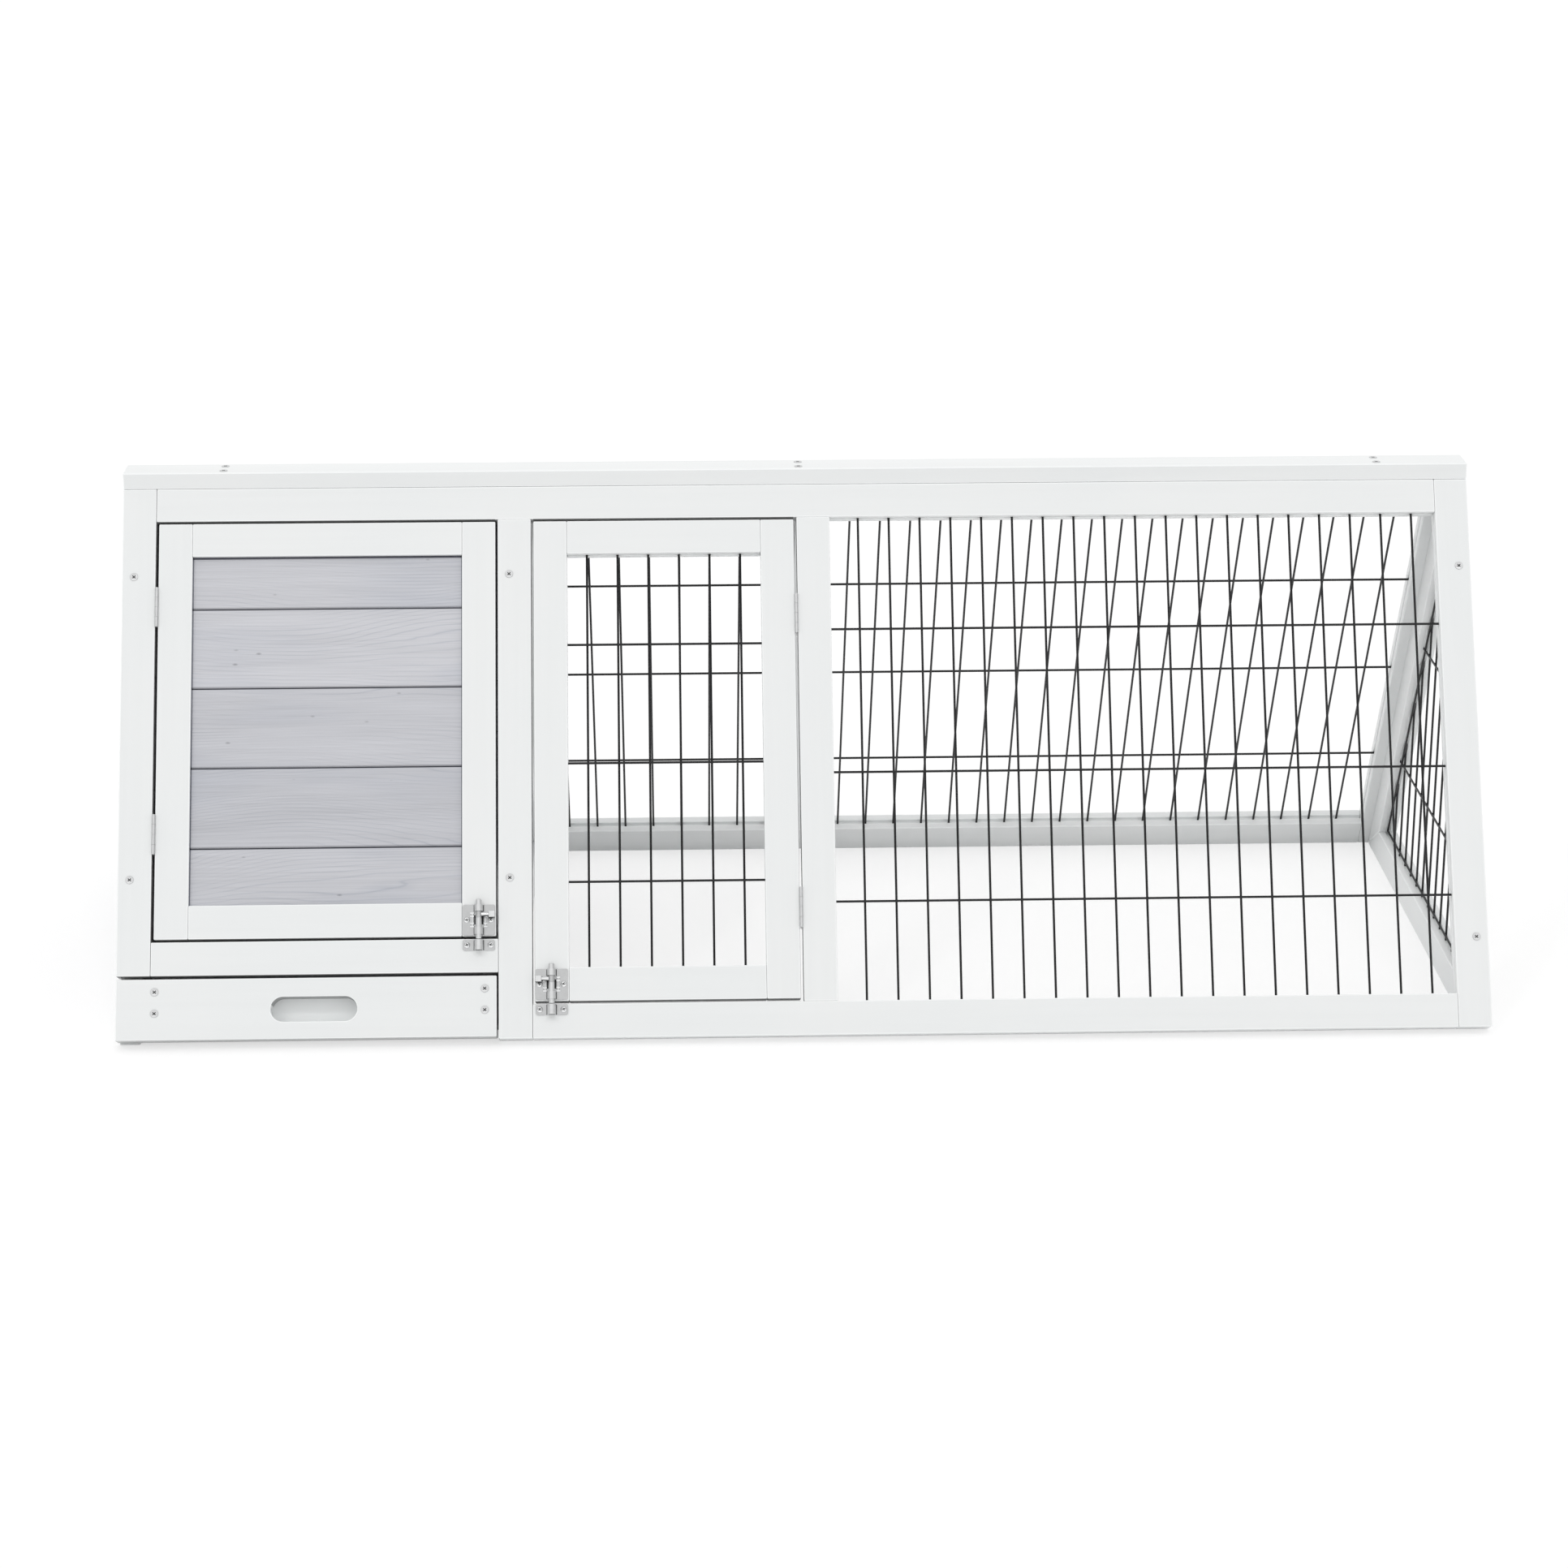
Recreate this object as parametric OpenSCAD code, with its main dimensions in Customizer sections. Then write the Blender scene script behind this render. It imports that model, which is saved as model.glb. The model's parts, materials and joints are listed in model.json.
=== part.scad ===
// Outdoor rabbit run: a long A-frame hutch and run made of flat timber panels.
// X runs along the length (hut at -X), the doors face -Y, Z is up, floor at Z = 0.
// Positions on a panel are given as x along it, s up its slope and n out of its face.

/* [Overall] */
// Length over the end posts, mm
run_length = 1180; // [1160:1:1200]
// Slope of the front and back panels from the floor, degrees
panel_slope = 61; // [59:0.1:63]
// Height of a panel measured up its outer face, mm
panel_height = 484.8; // [478:0.2:492]
// Gap between the inner top edges of the two panels, mm
seam_gap = 0.2; // [0.1:0.1:0.6]

/* [Timber] */
// Width of the posts, rails and legs, mm
timber_w = 29.2; // [28:0.2:31]
// Thickness of the posts, rails and legs, mm
timber_t = 18; // [17:0.5:19]
// Thickness of the ridge board, mm
ridge_t = 14.4; // [12:0.2:18]
// Depth of the grooves that hold wire and boards, mm
groove_d = 4; // [3:0.5:6]

/* [Hut] */
// Length of the hut, from its end to the partition post, mm
hut_length = 326; // [300:1:350]
// Height up the slope of the hut sill's lower edge, mm
sill_s = 57; // [56:0.5:60]
// Thickness of the boards, mm
board_t = 7; // [5:0.5:8]
// Height of one board, mm
board_h = 70.2; // [68:0.1:72]
// Chamfer along the lower front edge of each board, mm
board_chamfer = 1.5; // [0.5:0.1:2]
// How far the boards lie behind the face of the door, mm
board_recess = 5; // [4:0.5:6]
// Width of the doorway between hut and run, mm
doorway_w = 150; // [120:1:170]
// Height of the doorway's top above the floor, mm
doorway_top = 215; // [190:1:230]

/* [Doors] */
// Clear gap on the hinge side of each door, mm
hinge_gap = 2.4; // [2.4:0.1:3]
// Gap round the other edges of each door, mm
door_gap = 2; // [1.6:0.1:2.6]
// Length of a hinge, mm
hinge_l = 35; // [30:1:40]
// Radius of a hinge knuckle, mm
knuckle_r = 1.5; // [1.4:0.02:1.5]

/* [Run] */
// Clear width of the door bay between partition post and run post, mm
door_bay = 232.2; // [210:0.2:250]
// Wire size across its flats, mm
wire_d = 1.8; // [1.6:0.1:2.2]
// Spacing of the upright wires, mm
wire_pitch = 27.15; // [26:0.05:28]

/* [Bolts] */
// Diameter of the sliding bolt, mm
bolt_d = 5.2; // [4.8:0.1:5.4]
// Height of the bolt's centre above the face, mm
bolt_n = 4.4; // [4.3:0.1:5]
// Gap left between the bolt's tip and the keeper when drawn, mm
bolt_clear = 0.5; // [0.3:0.1:1]

/* [Tray] */
// Thickness of the tray's front board, mm
tray_front_t = 17.7; // [17:0.1:17.8]
// Length of the finger slot in the tray's front, mm
slot_l = 73.6; // [60:0.2:90]
// Height of the finger slot, mm
slot_h = 21; // [16:0.5:24]
// Thickness of the tray's inner front wall, mm
tray_wall_t = 6; // [4:0.5:8]
// Thickness of the tray's sides and back, mm
tray_side_t = 12; // [10:0.5:14]
// Height of the tray's sides above the floor, mm
tray_top = 46; // [40:1:47]
// Underside of the tray above the floor, mm
tray_bottom = 7.3; // [7.2:0.1:9]
// Gap between the tray's back and the back panel at floor level, mm
tray_back_gap = 35.1; // [30:0.5:50]

/* [Hidden] */

half = run_length / 2;
S = panel_height;
w = timber_w;
t = timber_t;
sa = sin(panel_slope);
ca = cos(panel_slope);
yb = S * ca + seam_gap / 2;      // inner face of a panel at floor level
D = yb + t * sa;                 // outer face line, at the height t*ca
ztop = S * sa + t * ca;          // underside of the ridge board
xl = -half + w;                  // inner edge of the left posts
xr = half - w;                   // inner edge of the right posts
xp = -half + hut_length;         // partition post
xq = xp + w;
xm = xq + door_bay;              // run post
xn = xm + w;
st = S - w;                      // lower edge of the top rails
ep = 0.05;                       // fit between a piece and its groove

// doors, as [x0, x1, s0, s1]
hd = [xl + hinge_gap, xp - 1.8, sill_s + w + 2.1, st - door_gap];
rd = [xq + door_gap, xm - hinge_gap, w + 2.3, st - door_gap];
hut_axis = xl + hinge_gap / 2;
run_axis = xm - hinge_gap / 2;
axis_n = 1.05;
hut_hinges = [hd[2] + 73.7, hd[3] - 91.6];
run_hinges = [rd[2] + 61.5, rd[3] - 101.8];

// bolts: x of the rod, s offset of the whole set, direction of the lever
hut_bolt = [xp - 16.6, sill_s - 57, 1];
run_bolt = [xq + 16.3, -56.2, -1];

white = [0.92, 0.93, 0.93];
grey = [0.72, 0.72, 0.76];
black = [0.08, 0.08, 0.09];
zinc = [0.72, 0.72, 0.72];

// front, right and left end frames and the partition, by their first x
left_frame_x = -half + 1.4;
right_frame_x = half - 1.4 - t;
part_frame_x = xp + 1;

front_frame_screws = [[left_frame_x + t / 2, S - 78.1], [left_frame_x + t / 2, 140.4],
  [part_frame_x + t / 2, S - 78.1], [part_frame_x + t / 2, 138.9],
  [right_frame_x + t / 2, S - 78], [right_frame_x + t / 2, 78.1]];
ridge_screw_x = [-half + 87, 0, half - 79.4];
ridge_screw_y = t * sa / 2;

// tray: its sides, back, runners and finger slot
tray_x0 = left_frame_x + t + 7.6;
tray_x1 = xp - 5.7;
tray_back_y = yb - tray_back_gap;
runner_w = 18;
slot_x = (tray_x0 + tray_x1) / 2 - 5;
slot_s = 27.5;
tray_screw_at = [for (x = [tray_x0 + tray_side_t / 2, tray_x1 - tray_side_t / 2]) for (s = [43.4, 25]) [x, s]];

// ---- frames of reference -------------------------------------------------

module on_front() translate([0, -D, t * ca]) rotate([panel_slope, 0, 0]) children();
module on_back() mirror([0, 1, 0]) on_front() children();

// prism along x of a profile given as [s, n] or [y, z]
module along_x(x0, x1, pts)
  translate([x0, 0, 0]) rotate([90, 0, 90]) linear_extrude(x1 - x0) polygon(pts);

// box on a panel
module pbox(x0, x1, s0, s1, n0, n1)
  translate([x0, s0, n0]) cube([x1 - x0, s1 - s0, n1 - n0]);

// ---- timber --------------------------------------------------------------

module timber(x0, x1, s0, s1) pbox(x0, x1, s0, s1, -t, 0);

// timber that runs up to the ridge: level under the ridge board, upright at the seam
module timber_to_ridge(x0, x1, s0)
  along_x(x0, x1, [[s0, 0], [S, 0], [S + t * sa * ca, -t * sa * sa], [S, -t], [s0, -t]]);

module groove(x0, x1, s0, s1, n0, n1)
  pbox(x0 - groove_d, x1 + groove_d, s0 - groove_d, s1 + groove_d, n0, n1);

module wire_groove(x0, x1, s0, s1) groove(x0, x1, s0, s1, -t / 2 - 2.25, -t / 2 + 2.25);
module board_groove(x0, x1, s0, s1)
  groove(x0, x1, s0, s1, -board_recess - board_t - ep, -board_recess + ep);

module front_run_groove() wire_groove(xn, xr, w, st);
module back_run_groove() wire_groove(xn, xr, w, st);
module back_door_groove() wire_groove(xq, xm, w, st);
module back_hut_groove() board_groove(xl, xp, w, st);
module hut_door_groove() board_groove(hd[0] + w, hd[1] - w, hd[2] + w, hd[3] - w);
module run_door_groove() wire_groove(rd[0] + w, rd[1] - w, rd[2] + w, rd[3] - w);

// ---- screws --------------------------------------------------------------

// cross-head screw, head up, top of the wood at z = 0
module screw(r, len) difference() {
  union() {
    translate([0, 0, -1.2]) cylinder(r = r, h = 1.5, $fn = 32);
    translate([0, 0, -len]) cylinder(r = 1.5, h = len - 1, $fn = 20);
  }
  rotate([0, 0, 45]) {
    translate([-r * 0.5, -0.4, -0.6]) cube([r, 0.8, 2]);
    translate([-0.4, -r * 0.5, -0.6]) cube([0.8, r, 2]);
  }
}
module screw_hole(r, len) {
  translate([0, 0, -1.25]) cylinder(r = r + ep, h = 4, $fn = 32);
  translate([0, 0, -len - 0.1]) cylinder(r = 1.5 + ep, h = len, $fn = 20);
}
module frame_screw_places() for (p = front_frame_screws) translate([p[0], p[1], 0]) children();
module ridge_screw_places()
  for (x = ridge_screw_x) for (y = [-ridge_screw_y, ridge_screw_y]) translate([x, y, ztop + ridge_t]) children();
module tray_screw_places() for (p = tray_screw_at) translate([p[0], p[1], 0]) children();
module frame_screw_holes() frame_screw_places() screw_hole(3.5, 36);

// ---- boards and wire -----------------------------------------------------

// horizontal boards between s0 and s1, one joint at j, chamfered at their lower front edges
module boards(x0, x1, s0, s1, j) {
  n0 = -board_recess - board_t;
  first = j - floor((j - s0) / board_h) * board_h;
  lows = concat([s0], [for (k = [0 : 12]) if (first + k * board_h < s1 - 3) first + k * board_h]);
  for (i = [0 : len(lows) - 1]) {
    a0 = lows[i] + (i == 0 ? 0 : 0.15);
    a1 = (i == len(lows) - 1 ? s1 : lows[i + 1] - 0.15);
    b0 = (i == 0 ? 0 : board_chamfer);
    b1 = (i == len(lows) - 1 ? 0 : 0.3);
    along_x(x0, x1, [[a0, n0], [a1, n0], [a1, n0 + board_t - b1], [a1 - b1, n0 + board_t],
                     [a0 + b0, n0 + board_t], [a0, n0 + board_t - b0]]);
  }
}

module wire_up(x, s0, s1, n)
  translate([x, s0, n]) rotate([-90, 0, 0]) rotate([0, 0, 22.5])
    cylinder(r = wire_d / 2 / cos(22.5), h = s1 - s0, $fn = 8);
module wire_across(s, x0, x1, n)
  translate([x0, s, n]) rotate([0, 90, 0]) rotate([0, 0, 22.5])
    cylinder(r = wire_d / 2 / cos(22.5), h = x1 - x0, $fn = 8);

wn = wire_d / 2 - 0.05;

// welded wire held in the grooves of its frame: first and last upright wire stand a0 and a1
// inside the opening, the cross wires at these shares of its height
module wire_mesh(x0, x1, s0, s1, a0, a1, rows) union() {
  count = round((x1 - x0 - a0 - a1) / wire_pitch);
  for (k = [0 : count])
    wire_up(x0 + a0 + k * (x1 - x0 - a0 - a1) / count, s0 - groove_d + ep, s1 + groove_d - ep, -t / 2 - wn);
  for (q = rows)
    wire_across(s0 + q * (s1 - s0), x0 - groove_d + ep, x1 + groove_d - ep, -t / 2 + wn);
}

// ---- end frames (in the y-z plane) ---------------------------------------

// half width of the triangle that lies d inside the panels, at height z
function tri_y(d, z) = yb - (d + z * ca) / sa;
function tri_top(d) = (yb * sa - d) / ca;

module leg(x0, s)
  along_x(x0, x0 + t, [[-s * yb, 0], [-s * tri_y(w, w), w],
    [-s * ep, tri_top(w) - ep * sa / ca], [-s * ep, tri_top(0) - ep * sa / ca]]);
module end_rail(x0)
  along_x(x0, x0 + t, [[-yb, 0], [yb, 0], [tri_y(w, w), w], [-tri_y(w, w), w]]);
module tri_groove(x0, wd)
  along_x(x0 + t / 2 - wd / 2, x0 + t / 2 + wd / 2,
    [[-tri_y(w - groove_d, w - groove_d), w - groove_d], [tri_y(w - groove_d, w - groove_d), w - groove_d], [0, tri_top(w - groove_d)]]);
module tri_legs(x0, wd) difference() {
  union() { leg(x0, 1); leg(x0, -1); }
  tri_groove(x0, wd);
  on_front() frame_screw_holes();
  on_back() frame_screw_holes();
}
module tri_rail(x0, wd) difference() { end_rail(x0); tri_groove(x0, wd); }

// board between the heights z0 and z1, cut to the triangle
module tri_board(x0, z0, z1) {
  d = w - groove_d + ep;
  zt = tri_top(d);
  if (z1 < zt - 1)
    along_x(x0 + t / 2 - board_t / 2, x0 + t / 2 + board_t / 2,
      [[-tri_y(d, z0), z0], [tri_y(d, z0), z0], [tri_y(d, z1), z1], [-tri_y(d, z1), z1]]);
  else
    along_x(x0 + t / 2 - board_t / 2, x0 + t / 2 + board_t / 2,
      [[-tri_y(d, z0), z0], [tri_y(d, z0), z0], [0, zt]]);
}
board_joint = hd[2] + w + 49.6;
board_z0 = w - groove_d + ep;
board_z = [for (k = [0 : 4]) board_z0 + k * (board_h - 1.2)];
module tri_boards(x0)
  for (k = [0 : 4]) tri_board(x0, board_z[k] + (k == 0 ? 0 : 0.15), k == 4 ? 1000 : board_z[k + 1] - 0.15);

// ---- hinges and bolts ----------------------------------------------------

// one leaf with its knuckles: axis along s at x = 0, n = axis_n; side -1 = frame leaf, 1 = door leaf
module leaf(side, s0) {
  q = hinge_l / 4;
  own = side < 0 ? [0, 2] : [1, 3];
  other = side < 0 ? [1, 3] : [0, 2];
  translate([0, s0, 0]) difference() {
    union() {
      difference() {
        pbox(side < 0 ? -hinge_gap / 2 : 0.25, side < 0 ? -0.25 : hinge_gap / 2, 0, hinge_l, -15, axis_n);
        for (k = other) translate([0, k * q - 0.15, axis_n]) rotate([-90, 0, 0]) cylinder(r = knuckle_r + 0.18, h = q + 0.3, $fn = 32);
      }
      for (k = own) translate([0, k * q + 0.08, axis_n]) rotate([-90, 0, 0]) cylinder(r = knuckle_r, h = q - 0.16, $fn = 32);
    }
    translate([0, -1, axis_n]) rotate([-90, 0, 0]) cylinder(r = side < 0 ? 0.6 : 0.75, h = hinge_l + 2, $fn = 24);
  }
  if (side < 0) translate([0, s0 + 0.08, axis_n]) rotate([-90, 0, 0]) cylinder(r = 0.6, h = hinge_l - 0.16, $fn = 24);
}
module place_hinges(axis, dir, list)
  for (s = list) translate([axis, 0, 0]) scale_x(dir) translate([0, s, 0]) children();
module scale_x(dir) { if (dir > 0) children(); else mirror([1, 0, 0]) children(); }

// strap that bridges the rod, profile in [x, n]
function arch(r) = [for (k = [0 : 8]) [r * cos(180 - k * 22.5), bolt_n + r * sin(180 - k * 22.5)]];
module strap(s0, s1, n0) translate([0, s1, 0]) rotate([90, 0, 0]) linear_extrude(s1 - s0) difference() {
  polygon(concat([[-3.9, n0]], arch(3.9), [[3.9, n0]]));
  polygon(concat([[-bolt_d / 2 - 0.25, n0 - 1]], arch(bolt_d / 2 + 0.25), [[bolt_d / 2 + 0.25, n0 - 1]]));
}
module at_bolt(b) translate([b[0], b[1], 0]) scale_x(b[2]) children();
module bolt_screw_at() for (x = [-10.2, 10.2]) translate([x, 102.4, 1]) children();
module keeper_screw_at() for (x = [-10.2, 10.2]) translate([x, 80.7, 1]) children();

module bolt_plate() difference() {
  union() {
    pbox(-13.9, 13.7, 89, 115.5, 0, 1);
    strap(89.4, 95.4, 0.5);
    strap(109.4, 115, 0.5);
    pbox(-6.6, -5.2, 96.5, 108.3, 0.5, 1.6);
    pbox(5.2, 6.6, 96.5, 108.3, 0.5, 1.6);
  }
  bolt_screw_at() screw_hole(2.7, 12);
}
module keeper() difference() {
  union() {
    pbox(-13.9, 13.7, 75.8, 85.3, 0, 1);
    strap(76, 84.8, 0.5);
  }
  keeper_screw_at() screw_hole(2.7, 12);
}
// drawn bolt: its tip stands just above the keeper's strap
tip_s = 84.8 + bolt_clear;
neck_s = 103.9;
module rod() translate([0, 0, bolt_n]) rotate([-90, 0, 0]) {
  translate([0, 0, tip_s]) cylinder(r = bolt_d / 2, h = neck_s - tip_s, $fn = 40);
  translate([0, 0, neck_s - 0.5]) cylinder(r = 1.5, h = 6.4, $fn = 24);
  translate([0, 0, neck_s + 5.4]) cylinder(r = bolt_d / 2, h = 120 - neck_s - 5.4, $fn = 40);
}
module lever() translate([0, neck_s + 2.7, bolt_n]) {
  rotate([-90, 0, 0]) translate([0, 0, -2.6]) difference() {
    cylinder(r = bolt_d / 2, h = 5.2, $fn = 40);
    translate([0, 0, -1]) cylinder(r = 1.65, h = 8, $fn = 24);
  }
  translate([2, 0, 0]) rotate([0, 90, 0]) cylinder(r = 1.6, h = 8.4, $fn = 24);
  translate([11.6, 0, 0]) sphere(r = 2.4, $fn = 32);
}

// ---- pieces: front panel -------------------------------------------------

module front_left_post() color(white) on_front() difference() {
  timber_to_ridge(-half, xl, sill_s);
  frame_screw_holes();
}
module front_partition_post() color(white) on_front() difference() {
  timber(xp, xq, 0, st);
  frame_screw_holes();
}
module front_run_post() color(white) on_front() difference() {
  timber(xm, xn, w, st);
  front_run_groove();
}
module front_right_post() color(white) on_front() difference() {
  timber_to_ridge(xr, half, 0);
  front_run_groove();
  frame_screw_holes();
}
module front_top_rail() color(white) difference() {
  on_front() difference() {
    timber_to_ridge(xl, xr, st);
    front_run_groove();
  }
  ridge_screw_places() screw_hole(3.5, 31);
}
module front_hut_sill() color(white) on_front() difference() {
  timber(xl, xp, sill_s, sill_s + w);
  at_bolt(hut_bolt) keeper_screw_at() screw_hole(2.7, 12);
}
module front_run_sill() color(white) on_front() difference() {
  timber(xq, xr, 0, w);
  front_run_groove();
  at_bolt(run_bolt) keeper_screw_at() screw_hole(2.7, 12);
}
module front_run_mesh() color(black) on_front()
  wire_mesh(xn, xr, w, st, 25.3, 19.66, [0.2033, 0.4693, 0.7671]);

// ---- pieces: back panel --------------------------------------------------

module back_left_post() color(white) on_back() difference() {
  timber_to_ridge(-half, xl, 0);
  back_hut_groove();
  frame_screw_holes();
}
module back_partition_post() color(white) on_back() difference() {
  timber(xp, xq, 0, st);
  back_hut_groove();
  back_door_groove();
  frame_screw_holes();
}
module back_run_post() color(white) on_back() difference() {
  timber(xm, xn, w, st);
  back_run_groove();
  back_door_groove();
}
module back_right_post() color(white) on_back() difference() {
  timber_to_ridge(xr, half, 0);
  back_run_groove();
  frame_screw_holes();
}
module back_top_rail() color(white) difference() {
  on_back() difference() {
    timber_to_ridge(xl, xr, st);
    back_run_groove();
    back_door_groove();
    back_hut_groove();
  }
  ridge_screw_places() screw_hole(3.5, 31);
}
module back_hut_sill() color(white) on_back() difference() {
  timber(xl, xp, 0, w);
  back_hut_groove();
}
module back_run_sill() color(white) on_back() difference() {
  timber(xq, xr, 0, w);
  back_run_groove();
  back_door_groove();
}
module back_hut_boards() color(grey) on_back()
  boards(xl - groove_d + ep, xp + groove_d - ep, w - groove_d + ep, st + groove_d - ep, board_joint);
module back_door_mesh() color(black) on_back()
  wire_mesh(xq, xm, w, st, 20.90, 21.04, [0.2148, 0.4946, 0.7669]);
module back_run_mesh() color(black) on_back()
  wire_mesh(xn, xr, w, st, 20.70, 24.31, [0.2148, 0.4946, 0.7669]);

// ---- pieces: end frames and partition ------------------------------------

module right_end_legs() color(white) tri_legs(right_frame_x, 4.5);
module right_end_rail() color(white) tri_rail(right_frame_x, 4.5);
module right_end_mesh() color(black) {
  d = w - groove_d + ep;
  xc = right_frame_x + t / 2;
  for (k = [-9 : 9]) {
    y = -8.4 + k * (wire_pitch + 0.25);
    zt = tri_top(d) - (abs(y) + wire_d / 2) * sa / ca;
    if (zt > w + 12) translate([xc + wn, y, w - groove_d + ep]) rotate([0, 0, 22.5])
      cylinder(r = wire_d / 2 / cos(22.5), h = zt - (w - groove_d + ep), $fn = 8);
  }
  for (q = [0.275, 0.593]) {
    z = q * tri_top(0);
    yt = tri_y(d, z + wire_d / 2);
    translate([xc - wn, -yt, z]) rotate([-90, 0, 0]) rotate([0, 0, 22.5])
      cylinder(r = wire_d / 2 / cos(22.5), h = 2 * yt, $fn = 8);
  }
  // border wire round the opening
  c = w + 2.6;
  for (m = [0, 1]) mirror([0, m, 0])
    translate([xc - wn, -tri_y(c, c), c]) rotate([panel_slope - 90, 0, 0]) rotate([0, 0, 22.5])
      cylinder(r = wire_d / 2 / cos(22.5), h = (tri_top(c) - c) / sa, $fn = 8);
  translate([xc - wn, -tri_y(c, c) - 1, c]) rotate([-90, 0, 0]) rotate([0, 0, 22.5])
    cylinder(r = wire_d / 2 / cos(22.5), h = 2 * tri_y(c, c) + 2, $fn = 8);
}

module left_end_legs() color(white) tri_legs(left_frame_x, board_t + 2 * ep);
module left_end_rail() color(white) tri_rail(left_frame_x, board_t + 2 * ep);
module left_end_boards() color(grey) tri_boards(left_frame_x);
module partition_legs() color(white) tri_legs(part_frame_x, board_t + 2 * ep);
module partition_rail() color(white) tri_rail(part_frame_x, board_t + 2 * ep);
module partition_boards() color(grey) difference() {
  tri_boards(part_frame_x);
  translate([part_frame_x - 1, -doorway_w / 2, 0]) cube([t + 2, doorway_w, doorway_top - doorway_w / 4]);
  translate([part_frame_x - 1, 0, doorway_top - doorway_w / 4]) rotate([0, 90, 0])
    scale_arch() cylinder(r = doorway_w / 2, h = t + 2, $fn = 64);
}
module scale_arch() intersection() {
  children();
  translate([-doorway_w / 4, -doorway_w / 2 - 1, -1]) cube([doorway_w, doorway_w + 2, t + 6]);
}

// ---- pieces: ridge and fixings -------------------------------------------

module ridge_board() color(white) difference() {
  translate([-half, -t * sa, ztop]) cube([run_length, 2 * t * sa, ridge_t]);
  ridge_screw_places() screw_hole(3.5, 31);
}
module ridge_screws() color(zinc) ridge_screw_places() screw(3.5, 31);
module frame_screws() color(zinc) {
  on_front() frame_screw_places() screw(3.5, 36);
  on_back() frame_screw_places() screw(3.5, 36);
}
module tray_runners() color(white) {
  for (x = [left_frame_x + t, part_frame_x - runner_w])
    translate([x, -yb + 20, 1.3]) cube([runner_w, 2 * yb - 60, 5.7]);
}
module hut_keeper() color(zinc) on_front() at_bolt(hut_bolt) keeper();
module run_keeper() color(zinc) on_front() at_bolt(run_bolt) keeper();
module keeper_screws() color(zinc) on_front() {
  at_bolt(hut_bolt) keeper_screw_at() screw(2.7, 12);
  at_bolt(run_bolt) keeper_screw_at() screw(2.7, 12);
}
module hut_frame_leaves() color(zinc) on_front() place_hinges(hut_axis, 1, hut_hinges) leaf(-1, 0);
module run_frame_leaves() color(zinc) on_front() place_hinges(run_axis, -1, run_hinges) leaf(-1, 0);

// ---- pieces: hut door ----------------------------------------------------

module hut_door_stiles() color(white) on_front() difference() {
  union() {
    timber(hd[0], hd[0] + w, hd[2], hd[3]);
    timber(hd[1] - w, hd[1], hd[2], hd[3]);
  }
  hut_door_groove();
  at_bolt(hut_bolt) bolt_screw_at() screw_hole(2.7, 12);
}
module hut_door_rails() color(white) on_front() difference() {
  union() {
    timber(hd[0] + w, hd[1] - w, hd[3] - w, hd[3]);
    timber(hd[0] + w, hd[1] - w, hd[2], hd[2] + w);
  }
  hut_door_groove();
}
module hut_door_boards() color(grey) on_front()
  boards(hd[0] + w - groove_d + ep, hd[1] - w + groove_d - ep,
         hd[2] + w - groove_d + ep, hd[3] - w + groove_d - ep, board_joint);
module hut_door_leaves() color(zinc) on_front() place_hinges(hut_axis, 1, hut_hinges) leaf(1, 0);
module hut_bolt_plate() color(zinc) on_front() at_bolt(hut_bolt) bolt_plate();
module hut_bolt_screws() color(zinc) on_front() at_bolt(hut_bolt) bolt_screw_at() screw(2.7, 12);
module hut_bolt_rod() color(zinc) on_front() at_bolt(hut_bolt) rod();
module hut_bolt_lever() color(zinc) on_front() at_bolt(hut_bolt) lever();

// ---- pieces: run door ----------------------------------------------------

module run_door_stiles() color(white) on_front() difference() {
  union() {
    timber(rd[0], rd[0] + w, rd[2], rd[3]);
    timber(rd[1] - w, rd[1], rd[2], rd[3]);
  }
  run_door_groove();
  at_bolt(run_bolt) bolt_screw_at() screw_hole(2.7, 12);
}
module run_door_rails() color(white) on_front() difference() {
  union() {
    timber(rd[0] + w, rd[1] - w, rd[3] - w, rd[3]);
    timber(rd[0] + w, rd[1] - w, rd[2], rd[2] + w);
  }
  run_door_groove();
}
module run_door_mesh() color(black) on_front()
  wire_mesh(rd[0] + w, rd[1] - w, rd[2] + w, rd[3] - w, 17.30, 17.85, [0.2059, 0.4916, 0.7800]);
module run_door_leaves() color(zinc) on_front() place_hinges(run_axis, -1, run_hinges) leaf(1, 0);
module run_bolt_plate() color(zinc) on_front() at_bolt(run_bolt) bolt_plate();
module run_bolt_screws() color(zinc) on_front() at_bolt(run_bolt) bolt_screw_at() screw(2.7, 12);
module run_bolt_rod() color(zinc) on_front() at_bolt(run_bolt) rod();
module run_bolt_lever() color(zinc) on_front() at_bolt(run_bolt) lever();

// ---- pieces: pull-out tray -----------------------------------------------

// where the back of the tray's front board is, at height z
function front_y(z) = -D + tray_front_t / sa + (z - t * ca) * ca / sa;

function wall_y(z) = front_y(z) + tray_wall_t / sa;

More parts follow.
